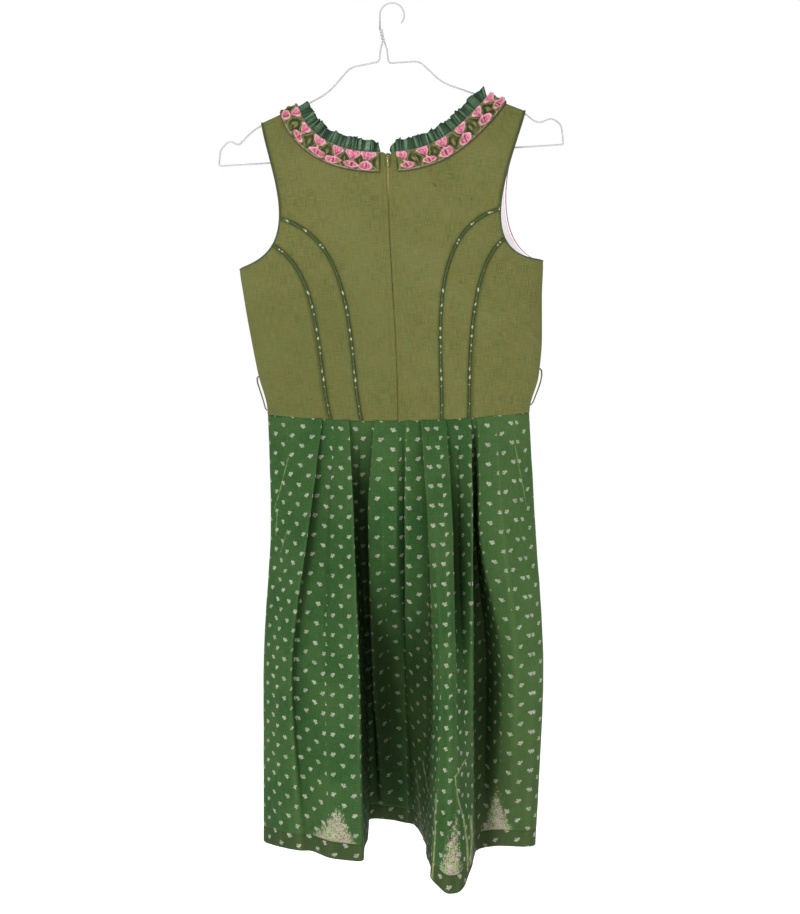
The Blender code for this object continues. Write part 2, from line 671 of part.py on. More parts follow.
# ---------------------------------------------------------------- piping and edges
def make_pipings():
    """A cord in each curved seam of the back, its bends level with the panels'."""
    for name in ("back_inner_left", "back_outer_left", "back_inner_right", "back_outer_right"):
        curve = seam_curve(name)
        points = []
        for x, z in (bezier(curve, share) for share in LOW_ROWS):
            points.append(on_form(-1, x, z) + outward(-1, x, z) * PIPING_RISE)
        for end, beside, short in ((0, 1, 2 * GAP), (-1, -2, 3.2)):
            points[end] += (points[beside] - points[end]).normalized() * short
        add_tube("piping_" + name, points, PIPING_RADIUS, "piping")


def make_armhole_bindings():
    """The bound edge round each armhole, over the hanger and under the arm."""
    flat_half, flat_rise = 1.4, 0.3     # its short flat over the wire
    for side, back, front in (("left", ARMHOLE_BACK_LEFT, ARMHOLE_FRONT_LEFT),
                              ("right", ARMHOLE_BACK_RIGHT, ARMHOLE_FRONT_RIGHT)):
        ring = []
        for face, row in ((-1, back), (1, front)):
            half = []
            for share in armhole_shares(face, side):
                x, z = bezier(armhole_curve(row), share)
                point = on_form(face, x, z)
                if share == 0.0:
                    point.y = face * flat_half
                    point.z += flat_rise
                half.append(point)
            half[-1].y = 0.0
            ring += half if face < 0 else half[-2::-1]
        add_tube("armhole_binding_" + side, ring, BINDING_RADIUS, "piping", closed=True)


def make_armhole_facings():
    """The pale lining that shows inside the front edge of each armhole."""
    thickness = 0.8
    inside = WALL / 2 + 3 * GAP + thickness / 2
    widths = (EDGE_INSET + GAP, 12.0, 22.0)
    for side, row, inward in (("left", ARMHOLE_FRONT_LEFT, 1),
                              ("right", ARMHOLE_FRONT_RIGHT, -1)):
        curve = armhole_curve(row)
        grid = []
        for share in armhole_shares(1, side):
            if not 0.09 < share < 0.95:
                continue
            here, ahead = Vector(bezier(curve, share)), Vector(bezier(curve, share + 0.01))
            run = (ahead - here).normalized()
            across = Vector((-run.y, run.x)) * inward
            line = []
            for width in widths:
                x, z = here + across * width
                line.append(on_form(1, x, z) - outward(1, x, z) * inside)
            grid.append(line)
        add_wall("armhole_facing_" + side, [grid], "lining", thickness)


# ---------------------------------------------------------------- neck trim and ruffle
def neck_stations():
    """The neckline from zip to zip: face, edge point and direction into the cloth."""
    stations = []
    for face, row, side, forward in ((-1, NECK_BACK_LEFT, -1, False),
                                     (1, NECK_FRONT_LEFT, -1, True),
                                     (1, NECK_FRONT_RIGHT, 1, False),
                                     (-1, NECK_BACK_RIGHT, 1, True)):
        part = []
        curve = edge_curve(row)
        for t in NECK_SHARES:
            here = Vector(bezier(curve, t))
            step = 0.01 if t < 0.5 else -0.01
            run = (Vector(bezier(curve, t + step)) - here) / step
            away = Vector((run.y, -run.x)).normalized() * -side
            slope = shoulder_height(here.x + side) - shoulder_height(here.x)
            seam = Vector((side, slope)).normalized()
            near = max(0.0, 1 - t / 0.16)
            away = lerp(away, seam, near).normalized()
            part.append((face, here, away, t))
        part = part if forward else part[::-1]
        stations.extend(part if not stations else part[1:])
    return stations


def station_point(station, into_cloth):
    """The form's point so far from the neckline at a station."""
    face, here, away, share = station
    x, z = here + away * into_cloth
    point = on_form(face, x, z)
    if share == 0.0:
        point.y = 0.0
    return point


def neckline_lengths(stations):
    """The length along the neckline up to each station."""
    points = [station_point(station, 0.0) for station in stations]
    lengths = [0.0]
    for a, b in zip(points, points[1:]):
        lengths.append(lengths[-1] + (b - a).length)
    return lengths


def sheet_normals(grid):
    """Outward directions over a grid of points, by its own neighbours."""
    normals = []
    for i, row in enumerate(grid):
        line = []
        for j, _ in enumerate(row):
            run = grid[min(i + 1, len(grid) - 1)][j] - grid[max(i - 1, 0)][j]
            across = row[min(j + 1, len(row) - 1)] - row[max(j - 1, 0)]
            line.append(run.cross(across).normalized())
        normals.append(line)
    return normals


def nearest_stations(stations, lengths, places):
    """For each place along the neckline, its station by blending two listed ones."""
    found = []
    for place in places:
        index = max(i for i, length in enumerate(lengths[:-1]) if length <= place)
        first, second = stations[index], stations[index + 1]
        share = (place - lengths[index]) / (lengths[index + 1] - lengths[index])
        found.append((first, second, share))
    return found


def blended_point(pair, into_cloth):
    """A form point between two stations."""
    first, second, share = pair
    return lerp(station_point(first, into_cloth), station_point(second, into_cloth), share)


def make_neck_trim():
    """The folded ribbon round the neckline, pinched into two rows of mouths."""
    stations = neck_stations()
    lengths = neckline_lengths(stations)
    total = lengths[-1] - 2 * TRIM_START
    pleats = round(total / TRIM_PITCH)
    steps = pleats * TRIM_STEPS
    shoulders = [lengths[i] for i, s in enumerate(stations) if s[3] < 0.03]
    places = [TRIM_START + total * i / steps for i in range(steps + 1)]
    places = [place for place in places if min(abs(place - s) for s in shoulders) > 3.0]
    places = sorted(places + shoulders)
    grid = []
    for pair in nearest_stations(stations, lengths, places):
        grid.append([blended_point(pair, lerp(TRIM_EDGE, TRIM_WIDTH, share))
                     for share, _ in TRIM_PROFILE])
    normals = sheet_normals(grid)
    if normals[2][2].y > 0:
        normals = [[-n for n in line] for line in normals]
    inside, outside = [], []
    for place, line, normal_line in zip(places, grid, normals):
        phase = (place - TRIM_START) / total * pleats % 1.0
        mouth = math.sin(math.pi * phase) ** 2
        at_shoulder = min(abs(place - s) for s in shoulders) < 4.0
        lift = WALL / 2 + (5 * GAP if at_shoulder else 4 * GAP)
        low, high = [], []
        for (_, opening), point, normal in zip(TRIM_PROFILE, line, normal_line):
            swell = TRIM_FLAT + TRIM_MOUTH * mouth * opening
            low.append(point + normal * lift)
            high.append(point + normal * (lift + swell))
        inside.append(low)
        outside.append(high)
    add_layers("neck_trim", inside, outside, "ribbon")


def make_neck_ruffle():
    """The gathered ruffle that stands up from the neckline, open at the zip."""
    stations = neck_stations()
    lengths = neckline_lengths(stations)
    total = lengths[-1] - 2 * RUFFLE_START
    waves = round(total / RUFFLE_PITCH)
    count = waves * 4
    places = [RUFFLE_START + total * i / count for i in range(count + 1)]
    shoulders = [lengths[i] for i, s in enumerate(stations) if s[3] == 0.0]
    pairs = nearest_stations(stations, lengths, places)
    base = [blended_point(pair, 0.0) for pair in pairs]
    inner = [blended_point(pair, 3.0) for pair in pairs]
    grid = []
    for i, (place, point, cloth) in enumerate(zip(places, base, inner)):
        run = (base[min(i + 1, count)] - base[max(i - 1, 0)]).normalized()
        rise = (point - cloth).normalized()
        near = max(0.0, 1 - min(abs(place - s) for s in shoulders) / 34.0)
        rise = lerp(rise, Vector((0, 0, 1.25)), near).normalized()
        side = run.cross(rise).normalized()
        swing = RUFFLE_WAVE * (1 - 0.65 * near)
        turn = (0.0, 1.0, 0.0, -1.0)[i % 4]
        uneven = 1 + 0.22 * math.sin(i * 1.7)
        height = RUFFLE_HEIGHT * (1 - 0.25 * near) * (1 + 0.06 * math.sin(i * 0.9))
        grid.append([
            point + rise * (WALL / 2 + 2 * GAP),
            point + rise * height * 0.5 + side * swing * turn * 0.55 * uneven,
            point + rise * height + side * swing * turn * uneven,
        ])
    add_wall("neck_ruffle", [grid], "ruffle", RUFFLE_WALL)


# ---------------------------------------------------------------- zip
def zip_place(z):
    """The centre-back line's point at a height, and its outward direction."""
    curve = centre_curve(CENTRE_BACK)
    low, high = 0.0, 1.0
    for _ in range(40):
        middle = (low + high) / 2
        if bezier(curve, middle)[1] < z:
            low = middle
        else:
            high = middle
    x = bezier(curve, low)[0]
    return on_form(-1, x, z), outward(-1, x, z)


def make_zip():
    """The coil under the centre-back edges, its top stop and its slider."""
    steps = 14
    inside = WALL / 2 + 2 * GAP + ZIP_THICKNESS / 2
    grid = []
    for i in range(steps + 1):
        z = lerp(-198.0, waist_height(7.6) + 1.0, i / steps)
        point, out = zip_place(z)
        grid.append([point - out * inside + Vector((side * ZIP_WIDTH / 2, 0, 0))
                     for side in (-1, 0, 1)])
    add_wall("zip_coil", [grid], "coil", ZIP_THICKNESS)

    stop, _ = zip_place(-198.6)
    coil_face = WALL / 2 + 2 * GAP      # the coil's outer face is this far inside
    width, tall, thick = STOP_SIZE
    add_object("zip_stop", cube(stop + Vector((0, coil_face - GAP - thick / 2, 0)),
                                (width, thick, tall)), "metal")

    middle, _ = zip_place(SLIDER_Z)
    width, tall, thick = SLIDER_SIZE
    plate_y = middle.y - WALL / 2 - 3 * GAP - thick / 2
    keel_depth = WALL + 3 * GAP
    keel_y = plate_y + thick / 2 - 0.1 + keel_depth / 2
    lug_wide, lug_tall, lug_deep = LUG_SIZE
    lug_y = plate_y - thick / 2 + 0.1 - lug_deep / 2
    axis_z = middle.z + tall / 2 - lug_tall / 2 - 0.4
    blocks = [cube((middle.x, plate_y, middle.z), (width, thick, tall)),
              cube((middle.x, keel_y, middle.z), (3.0, keel_depth, tall - 1.0))]
    for side in (-1, 1):
        blocks.append(cube((middle.x + side * LUG_HALF_SPAN, lug_y, axis_z),
                           (lug_wide, lug_deep, lug_tall)))
    join_blocks("zip_slider", blocks, "metal")
    axis_y = plate_y - thick / 2 - TAB_AXIS_OUT
    return Vector((middle.x, axis_y, axis_z))


def make_pull_tab(axis):
    """The tab that hangs from the slider, its origin on the hinge line."""
    neck_end = LUG_SIZE[1] / 2 + 0.6
    half_neck, half_tab = TAB_NECK_WIDTH / 2, TAB_WIDTH / 2
    outline = [(-half_neck, 0.0), (-half_neck, -neck_end), (-half_tab, -neck_end - 1.4),
               (-half_tab * 0.85, -TAB_LENGTH + 1.2), (-half_tab * 0.4, -TAB_LENGTH)]
    outline += [(-x, z) for x, z in reversed(outline)]
    curve = bpy.data.curves.new("tab_outline", "CURVE")
    curve.dimensions = "2D"
    curve.fill_mode = "BOTH"
    curve.extrude = TAB_THICKNESS / 2 * MM
    spline = curve.splines.new("POLY")
    spline.points.add(len(outline) - 1)
    for spot, (x, z) in zip(spline.points, outline):
        spot.co = (x * MM, z * MM, 0.0, 1.0)
    spline.use_cyclic_u = True
    flat = bpy.data.objects.new("tab_flat", curve)
    bpy.data.collections["tools"].objects.link(flat)
    bpy.context.view_layer.update()
    plate = bpy.data.meshes.new_from_object(flat.evaluated_get(
        bpy.context.evaluated_depsgraph_get()))
    bpy.data.objects.remove(flat)
    form = bmesh.new()
    form.from_mesh(plate)
    bmesh.ops.remove_doubles(form, verts=form.verts, dist=0.000001)
    bmesh.ops.rotate(form, matrix=Matrix.Rotation(math.pi / 2, 3, "X"), verts=form.verts)
    bmesh.ops.recalc_face_normals(form, faces=form.faces)
    form.to_mesh(plate)
    form.clear()
    bmesh.ops.create_cone(form, cap_ends=True, segments=12, radius1=TAB_BARREL_RADIUS * MM,
                          radius2=TAB_BARREL_RADIUS * MM, depth=(TAB_NECK_WIDTH + 0.1) * MM)
    bmesh.ops.rotate(form, matrix=Matrix.Rotation(math.pi / 2, 3, "Y"), verts=form.verts)
    barrel = bpy.data.meshes.new("barrel")
    form.to_mesh(barrel)
    form.free()
    join_blocks("zip_pull", [plate, barrel], "metal", axis)


# ---------------------------------------------------------------- belt loops
def side_seam_x(is_left, z):
    """The x of the side seam's straight run at a height."""
    armhole = armhole_curve(ARMHOLE_BACK_LEFT if is_left else ARMHOLE_BACK_RIGHT)
    places = [side_line(is_left, armhole[3])(row) for row in LOW_ROWS]
    run = max(i for i, (_, height) in enumerate(places[:-1]) if height <= z)
    (x, low), (next_x, high) = places[run:run + 2]
    return lerp(x, next_x, (z - low) / (high - low))


def make_thread_loops():
    """A crocheted loop at each side seam, just above the waist, for a belt."""
    for side, is_left, top, bottom in (("left", True, -477.0, -520.0),
                                       ("right", False, -467.0, -513.0)):
        points = []
        for share, stand in THREAD_LOOP:
            z = lerp(top, bottom, share)
            out = stand if not is_left else -stand
            points.append(Vector((side_seam_x(is_left, z) + out, 0.0, z)))
        add_tube("thread_loop_" + side, points, THREAD_RADIUS, "piping")


# ---------------------------------------------------------------- skirt
def fold_places(row, face):
    """A fold's x, y and z at the four levels of the skirt."""
    _, waist_x, step, hip_x, hip_y, knee_x, knee_y, hem_x, hem_y, hem_z = row
    top = waist_height(waist_x) - GAP / 2
    waist = on_form(face, waist_x, top)
    waist.y -= face * step
    return ((waist.x, hip_x, knee_x, hem_x), (waist.y, hip_y, knee_y, hem_y), (top, hem_z))


def fold_point(row, face, share):
    """Where a fold runs at this share of the skirt's length."""
    xs, ys, (top, hem) = fold_places(row, face)
    return Vector((smooth(SKIRT_LEVELS, xs, share), smooth(SKIRT_LEVELS, ys, share),
                   lerp(top, hem, share)))


def fold_radius(share):
    """The rounding of the folds at this share of the skirt's length."""
    return smooth(SKIRT_LEVELS, FOLD_RADII, share)


def skirt_strip(folds, before, after, share):
    """One ring of a skirt panel, from the seam before it to the seam after it."""
    corners = [fold_point(row, face, share) for face, row in [before, *folds, after]]
    radius = fold_radius(share)
    points = []
    for previous, corner, following in zip(corners, corners[1:], corners[2:]):
        arms = []
        for other in (previous, following):
            arm = other - corner
            arms.append(corner + arm * min(radius / arm.length, 0.42))
        middle = (arms[0] + arms[1]) / 4 + corner / 2
        points += [arms[0], middle, arms[1]]
    for first, second, place in ((corners[0], corners[1], 0), (corners[-1], corners[-2], None)):
        cut = (second - first).normalized() * GAP / 2
        end = (first + second) / 2 + cut
        if place == 0:
            points.insert(0, end)
        else:
            points.append(end)
    return points


def make_skirt():
    """Two back panels and a front one, folded as the cloth hangs."""
    back_left = [(-1, row) for row in BACK_LEFT_FOLDS]
    back_right = [(-1, row) for row in BACK_RIGHT_FOLDS]
    front = [(1, row) for row in FRONT_FOLDS]
    for name, folds, before, after in (
            ("skirt_back_left", back_left, front[-1], back_right[0]),
            ("skirt_back_right", back_right, back_left[-1], front[0]),
            ("skirt_front", front, back_right[-1], back_left[0])):
        grid = [skirt_strip(folds, before, after, share) for share in SKIRT_ROWS]
        add_wall(name, [grid], "print")


# ---------------------------------------------------------------- hanger
def make_hanger():
    """One wire: the hook, down the twist, round the shoulders and back up the twist."""
    hook_radius = HOOK_INNER_RADIUS + WIRE_RADIUS
    centre = Vector((0.0, WIRE_RADIUS - hook_radius))
    points = []
    for i in range(HOOK_STEPS + 1):
        angle = math.radians(lerp(HOOK_TIP_ANGLE, 180.0, i / HOOK_STEPS))
        points.append((centre.x + hook_radius * math.cos(angle), 0.0,
                       centre.y + hook_radius * math.sin(angle)))
    top, foot = Vector(TWIST_TOP), Vector(TWIST_FOOT)
    strands = []
    steps = TWIST_TURNS * 6
    for phase in (math.pi, 0.0):
        strand = []
        for i in range(steps + 1):
            angle = phase + 2 * math.pi * TWIST_TURNS * i / steps
            middle = lerp(top, foot, i / steps)
            strand.append((middle.x + TWIST_RADIUS * math.cos(angle),
                           TWIST_RADIUS * math.sin(angle), middle.y))
        strands.append(strand)
    points += strands[0]
    points += [(x, 0.0, z) for x, z in rounded(WIRE_LEFT + WIRE_RIGHT[::-1])]
    points += strands[1][::-1]
    add_tube("hanger", points, WIRE_RADIUS, "wire")


def main():
    """Clear the scene and build the dress."""
    for old in list(bpy.data.objects):
        bpy.data.objects.remove(old)
    for name in ("dirndl_dress", "tools"):
        collection = bpy.data.collections.new(name)
        bpy.context.scene.collection.children.link(collection)
    make_hanger()
    make_back_panels()
    make_front_panels()
    make_pipings()
    make_armhole_bindings()
    make_armhole_facings()
    make_neck_trim()
    make_neck_ruffle()
    make_pull_tab(make_zip())
    make_thread_loops()
    make_skirt()


main()
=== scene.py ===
"""A dirndl dress on a wire hanger: its cloth, trim, finishes and studio.

The file is laid out as an add-on and is run as a script.  Tables are in
millimetres; +Z is up, the dress's back faces -Y and the wearer's right is +X.
"""
import math
import random
from functools import cache, reduce

import bmesh
import bpy
import numpy as np
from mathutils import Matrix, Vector, noise


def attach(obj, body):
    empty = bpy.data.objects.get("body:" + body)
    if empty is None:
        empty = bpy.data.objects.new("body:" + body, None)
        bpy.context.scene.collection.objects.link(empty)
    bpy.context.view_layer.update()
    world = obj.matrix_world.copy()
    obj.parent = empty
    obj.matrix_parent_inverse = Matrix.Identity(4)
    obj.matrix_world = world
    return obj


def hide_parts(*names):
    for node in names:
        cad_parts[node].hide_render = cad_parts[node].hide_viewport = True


bl_info = {
    "name": "Dirndl dress on a wire hanger",
    "version": (1, 0, 0),
    "blender": (4, 5, 0),
    "location": "3D View > Sidebar > Dirndl",
    "description": "Builds the cloth, trim, finishes and studio of a hanging dirndl dress",
    "category": "Object",
}

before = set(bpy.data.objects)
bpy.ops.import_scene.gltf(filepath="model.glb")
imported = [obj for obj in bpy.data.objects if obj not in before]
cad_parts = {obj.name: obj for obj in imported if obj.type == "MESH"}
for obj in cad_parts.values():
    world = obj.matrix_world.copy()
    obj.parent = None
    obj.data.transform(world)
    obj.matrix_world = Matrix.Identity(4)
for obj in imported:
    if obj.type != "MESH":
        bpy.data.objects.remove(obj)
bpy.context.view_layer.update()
MM = 0.001
BODY_OF_CLOTH = "dress"
BODY_OF_TAB = "zip_pull"
PIECE = "_piece"            # ends the name of each piece made here
CLOTH_MAP = "cloth"         # the UV map that holds a place on the flat cloth, in millimetres

# ------------------------------ cloth and gaps
WALL = 1.2                  # wall that the frame gives each cloth piece
GAP = 0.3
PIPING_RADIUS = 1.25
PIPING_RISE = 0.8
BINDING_RADIUS = 1.0
SEAM_INSET = PIPING_RADIUS
EDGE_INSET = 0.8 * BINDING_RADIUS
SIDE_INSET = 0.0
WAIST_LAP = 0.15            # how far bodice and skirt each run past the waist seam

# ------------------------------ hanger (x, z, bend radius)
WIRE_RADIUS = 1.1
HOOK_INNER_RADIUS = 14.5
HOOK_TIP_ANGLE = -38.0
TWIST_TOP = (-14.3, -33.0)
TWIST_FOOT = (-10.9, -49.0)
TWIST_TURNS = 2
TWIST_RADIUS = 1.3
SHOULDER_BEND_LEFT = (-106.2, -127.5)
SHOULDER_END_LEFT = (-172.8, -158.6)
SHOULDER_BEND_RIGHT = (101.6, -113.5)
SHOULDER_END_RIGHT = (170.0, -139.9)
WIRE_LEFT = (
    (-14.6, -57.6, 6), (-16.3, -74.0, 5), (-53.4, -81.5, 8), (-81.3, -113.5, 12),
    SHOULDER_BEND_LEFT + (20,), SHOULDER_END_LEFT + (8,), (-185.2, -169.3, 6),
    (-196.5, -181.5, 5), (-207.5, -175.0, 6), (-219.6, -186.0, 6), (-221.4, -207.7, 3),
)
WIRE_RIGHT = (
    (-6.6, -57.6, 6), (-4.6, -76.0, 5), (34.9, -73.2, 8), (64.5, -101.1, 12),
    SHOULDER_BEND_RIGHT + (20,), SHOULDER_END_RIGHT + (8,), (180.7, -149.2, 6),
    (189.0, -152.6, 6), (204.5, -145.6, 7), (216.6, -154.8, 6), (219.4, -180.0, 3),
)
SEAM_ABOVE_WIRE = 2.4

# ------------------------------ bodice form
BODY = (    # height, left side x, right side x, depth of the back, of the front
    (-700.0, -158.8, 175.5, 42.0, 44.0),
    (-522.0, -158.8, 175.5, 42.0, 44.0),
    (-475.0, -170.4, 187.4, 40.0, 50.0),
    (-425.0, -180.4, 191.5, 38.0, 60.0),
    (-375.0, -189.2, 191.5, 37.0, 64.0),
    (-335.0, -194.5, 192.9, 36.0, 54.0),
    (-200.0, -194.5, 192.9, 30.0, 36.0),
    (-60.0, -194.5, 192.9, 30.0, 34.0),
)
FULL_DEPTH_FALL = 85.0
RIDGE_START = 0.6
RIDGE_DEPTH = 2.3
RIDGE_FALL = 3.0
FLAT_WAIST_LEFT = -158.8
FLAT_WAIST_RIGHT = 175.5
WAIST_LEFT = -525.7
WAIST_RIGHT = -522.8
WAIST_SAG = 10.7

NECKS = {
    "back_left": (-119.0, (-104.1, -186.7), (-54.0, -198.7), (-4.8, -196.5)),
    "back_right": (121.6, (84.3, -166.5), (58.1, -194.8), (-4.8, -196.5)),
    "front_left": (-119.0, (-112.0, -208.0), (-76.0, -262.0), (6.0, -262.0)),
    "front_right": (121.6, (110.0, -204.0), (84.0, -262.0), (6.0, -262.0)),
}
ARMHOLES = {
    "back_left": (-166.4, (-156.6, -212.2), (-102.3, -321.0), (-193.9, -340.1)),
    "back_right": (170.0, (157.6, -189.7), (90.0, -331.3), (192.6, -329.0)),
    "front_left": (-166.4, (-150.0, -212.0), (-98.0, -323.0), (-193.9, -340.1)),
    "front_right": (170.0, (147.9, -187.5), (124.0, -301.0), (192.6, -329.0)),
}
CENTRES = {
    "back": (7.6, (7.9, -421.7), (-6.5, -309.9), (-4.8, -196.5)),
    "front": (8.0, (8.0, -440.0), (6.0, -350.0), (6.0, -262.0)),
}
SEAMS = {   # x at the waist, two handles, and where along the armhole it ends
    "back_inner_left": (-37.7, (-57.0, -450.3), (-38.7, -310.0), 0.580),
    "back_outer_left": (-76.2, (-96.3, -451.2), (-85.9, -350.4), 0.757),
    "back_inner_right": (62.2, (65.7, -450.0), (36.3, -295.5), 0.553),
    "back_outer_right": (96.7, (97.6, -474.8), (94.0, -338.5), 0.731),
    "front_left": (-52.0, (-62.0, -450.0), (-92.0, -330.0), 0.60),
    "front_right": (68.0, (78.0, -450.0), (104.0, -330.0), 0.62),
}
CORNER = 0.58               # share of the height at a tall panel's side corner

# Soft creases: x and z of both ends, half width, height out of (+) or into (-) the cloth.
BACK_CREASES = (
    (-70, -474, 4, -470, 5.0, -0.55), (-62, -489, -2, -487, 4.5, 0.5),
    (-52, -501, -8, -499, 4.0, -0.5), (-60, -512, -12, -511, 4.0, 0.45),
    (-150, -505, -84, -510, 6.0, -0.6), (-152, -486, -96, -494, 7.0, 0.5),
    (100, -506, 168, -500, 6.0, -0.6), (104, -488, 176, -478, 7.0, 0.55),
    (20, -500, 58, -508, 5.0, -0.4), (14, -484, 60, -490, 6.0, 0.4),
    (-178, -400, -120, -410, 12.0, 0.9), (-184, -372, -128, -392, 9.0, -0.7),
    (-96, -420, -60, -452, 12.0, 0.6), (118, -396, 186, -378, 12.0, 0.9),
    (126, -420, 184, -408, 10.0, -0.7), (-152, -196, -134, -300, 9.0, 0.7),
    (128, -180, 118, -290, 9.0, 0.7), (-110, -214, -60, -260, 16.0, 0.6),
    (60, -206, 104, -250, 16.0, -0.6), (22, -230, 18, -400, 9.0, 0.5),
    (-22, -230, -18, -420, 9.0, 0.4), (44, -300, 54, -440, 8.0, -0.35),
)
FRONT_CREASES = (
    (-60, -506, 20, -502, 6.0, -0.6), (-70, -488, 30, -484, 6.0, 0.6),
    (40, -500, 120, -506, 6.0, -0.6), (-150, -498, -80, -508, 6.0, 0.6),
    (-170, -380, -110, -400, 11.0, -0.9), (110, -400, 180, -382, 11.0, 0.9),
    (-120, -250, -60, -320, 16.0, 0.8), (60, -300, 120, -240, 16.0, -0.8),
)

# ------------------------------ armholes
BINDING_FLAT = 1.4          # half the binding's short flat over the wire
BINDING_FLAT_RISE = 0.3
FACING_WIDTH = 22.0
FACING_THICKNESS = 0.7
FACING_SPANS = {"left": (0.102, 0.928), "right": (0.1054, 0.9316)}      # shares of the armhole

# ------------------------------ trim and ruffle
TRIM_WIDTH = 26.0
TRIM_START = 10.0           # from the centre-back line, along the neckline
TRIM_EDGE = 0.4             # from the neckline to the ribbon's edge
TRIM_FLAT = 0.9             # ribbon alone
TRIM_MOUTH = 3.4            # height that a pinched pleat stands up
RUFFLE_WAVE = 3.0           # how far a gather swings to each side
RUFFLE_START = 4.0
RUFFLE_THICKNESS = 0.64
GATHER = 7.6                # from gather to gather along the ruffle
POINT_STEP = 0.72           # between points along the trim

# ------------------------------ zip
ZIP_CHANNEL = 1.8           # half the opening above the closed cloth edges
ZIP_OPEN_TO = -258.0        # the edges meet below this height
ZIP_TOP = -198.0
ZIP_WIDTH = 6.0
ZIP_THICKNESS = 1.0
TAPE_THICKNESS = 0.56
TOOTH_PITCH = 0.72
TOOTH_RADIUS = 0.33
TOOTH = ((-2.1, 0.10), (-1.3, 0.42), (0.2, 0.46), (0.75, 0.16))     # across, out of the coil
SLIDER_Z = -204.5
SLIDER_SIZE = (4.8, 7.5, 1.0)       # wide, tall, thick
LUG_SIZE = (0.7, 2.4, 2.0)
LUG_HALF_SPAN = 1.5
TAB_AXIS_OUT = 1.2                  # hinge line in front of the slider's plate
TAB_BARREL_RADIUS = 0.7
TAB_NECK_WIDTH = 1.6
TAB_WIDTH = 3.8
TAB_LENGTH = 13.0
TAB_THICKNESS = 0.9
STOP_SIZE = (3.0, 1.8, 1.6)
STOP_Z = -198.6

THREAD_LOOP_SPANS = {"left": (-477.0, -520.0), "right": (-467.0, -513.0)}      # heights
THREAD_LOOP = (     # share of a belt loop's height, and how far it stands off the seam
    (0.0, 1.3), (0.06, 3.2), (0.2, 4.2), (0.45, 4.3), (0.7, 4.0), (0.92, 3.2), (1.0, 1.3),
)

# ------------------------------ skirt
SKIRT_LEVELS = (0.0, 0.235, 0.60, 1.0)      # share of the length: waist, hip, knee, hem
FOLD_RADII = (2.2, 4.0, 8.0, 9.0)
# Each fold: waist x, its step into the form there, x and y at hip, knee and hem, hem height.
BACK_LEFT_FOLDS = (
    (-158.0, 0.0, -155, 2, -165, 4, -165, 8, -1075),
    (-132.0, 0.0, -133, -24, -147, -22, -142, -25, -1072),
    (-86.3, -1.8, -102, -52, -125, -42, -114, -44, -1072),
    (-89.0, 1.8, -107, -26, -124, -22, -101, -41, -1072),
    (-72.5, 0.0, -78, -38, -83, -50, -76, -66, -1075),
    (-53.0, -1.8, -47, -62, -39, -82, -35, -74, -1077),
    (-55.6, 1.8, -53, -8, -40, 20, -31, 5, -1069), (-41.0, 2.0, -43, 6, -35, 58, -31, 84, -1065),
    (-19.6, 1.8, -27, 4, -23, 62, -20, 86, -1065),
    (-22.0, -1.8, -30, -38, -27, 24, -11, 85, -1066), (-7.5, -1.0, -11, -45, -6, 40, 2, 82, -1066),
    (6.2, -1.0, 5, -47, 11, 46, 16, 77, -1068),
)
BACK_RIGHT_FOLDS = (
    (13.0, 0.8, 18, -32, 21, 48, 28, 70, -1068), (18.5, -1.8, 16, -54, 17, 12, 35, 44, -1068),
    (38.6, 1.8, 48, -46, 48, -26, 40, 10, -1070), (36.0, -1.8, 44, -72, 51, -90, 43, -62, -1073),
    (48.0, -1.0, 54, -77, 59, -118, 47, -138, -1079),
    (57.5, -1.0, 65, -79, 69, -127, 64, -157, -1091),
    (68.4, -1.8, 75, -76, 77, -126, 79, -155, -1090),
    (65.8, 1.8, 73, -34, 80, -102, 86, -145, -1086),
    (83.0, 0.0, 85, -36, 88, -92, 91, -128, -1079),
    (99.5, -1.8, 100, -60, 98, -94, 99, -92, -1072),
    (97.0, 1.8, 101, -10, 105, 8, 104, -46, -1072),
    (104.0, 2.0, 106, -3, 121, 22, 112, -27, -1073),
    (109.0, -0.5, 109, -42, 140, -24, 133, -20, -1072),
    (130.0, -1.0, 138, -44, 156, -33, 151, -22, -1072),
    (155.0, 0.0, 162, -26, 178, -20, 171, -22, -1073),
    (174.8, 0.0, 182, -4, 193.5, -4, 183, -8, -1075),
)
FRONT_FOLDS = (
    (174.8, 0.0, 182, 14, 193.5, 16, 184, 18, -1075),
    (150.0, -1.0, 160, 58, 170, 76, 172, 86, -1075),
    (138.0, 1.5, 142, 38, 144, 46, 148, 56, -1072),
    (116.0, -1.5, 122, 72, 128, 104, 128, 120, -1078),
    (102.0, 1.5, 98, 48, 100, 62, 103, 82, -1073), (74.0, -1.5, 76, 76, 78, 116, 78, 140, -1079),
    (62.0, 1.5, 54, 52, 54, 78, 54, 102, -1074), (26.0, -1.5, 27, 78, 25, 122, 26, 158, -1080),
    (10.0, 1.5, 7, 58, 7, 96, 6, 132, -1076), (-10.0, -1.5, -13, 78, -16, 124, -18, 160, -1080),
    (-28.0, 1.5, -38, 52, -39, 88, -37, 116, -1074),
    (-52.0, -1.5, -57, 74, -63, 112, -67, 138, -1079),
    (-72.0, 1.5, -83, 46, -84, 64, -86, 78, -1073),
    (-96.0, -1.5, -101, 70, -112, 98, -112, 114, -1078),
    (-116.0, 1.5, -122, 40, -128, 50, -130, 60, -1073),
    (-136.0, -1.0, -142, 52, -150, 64, -150, 76, -1076),
    (-158.0, 0.0, -155, 18, -165, 22, -166, 28, -1075),
)
SKIRT_CREASES = (
    (-150, -560, -120, -640, 9.0, 1.1), (-146, -640, -136, -760, 8.0, -0.9),
    (-120, -760, -104, -900, 9.0, 0.9), (-74, -700, -70, -880, 9.0, -0.9),
    (120, -560, 160, -620, 9.0, 1.2), (126, -600, 166, -700, 10.0, -1.1),
    (150, -700, 172, -820, 10.0, 1.0), (140, -980, 176, -940, 12.0, 1.3),
    (-140, -1010, -80, -1000, 12.0, 0.8), (62, -820, 66, -960, 7.0, -0.8),
)
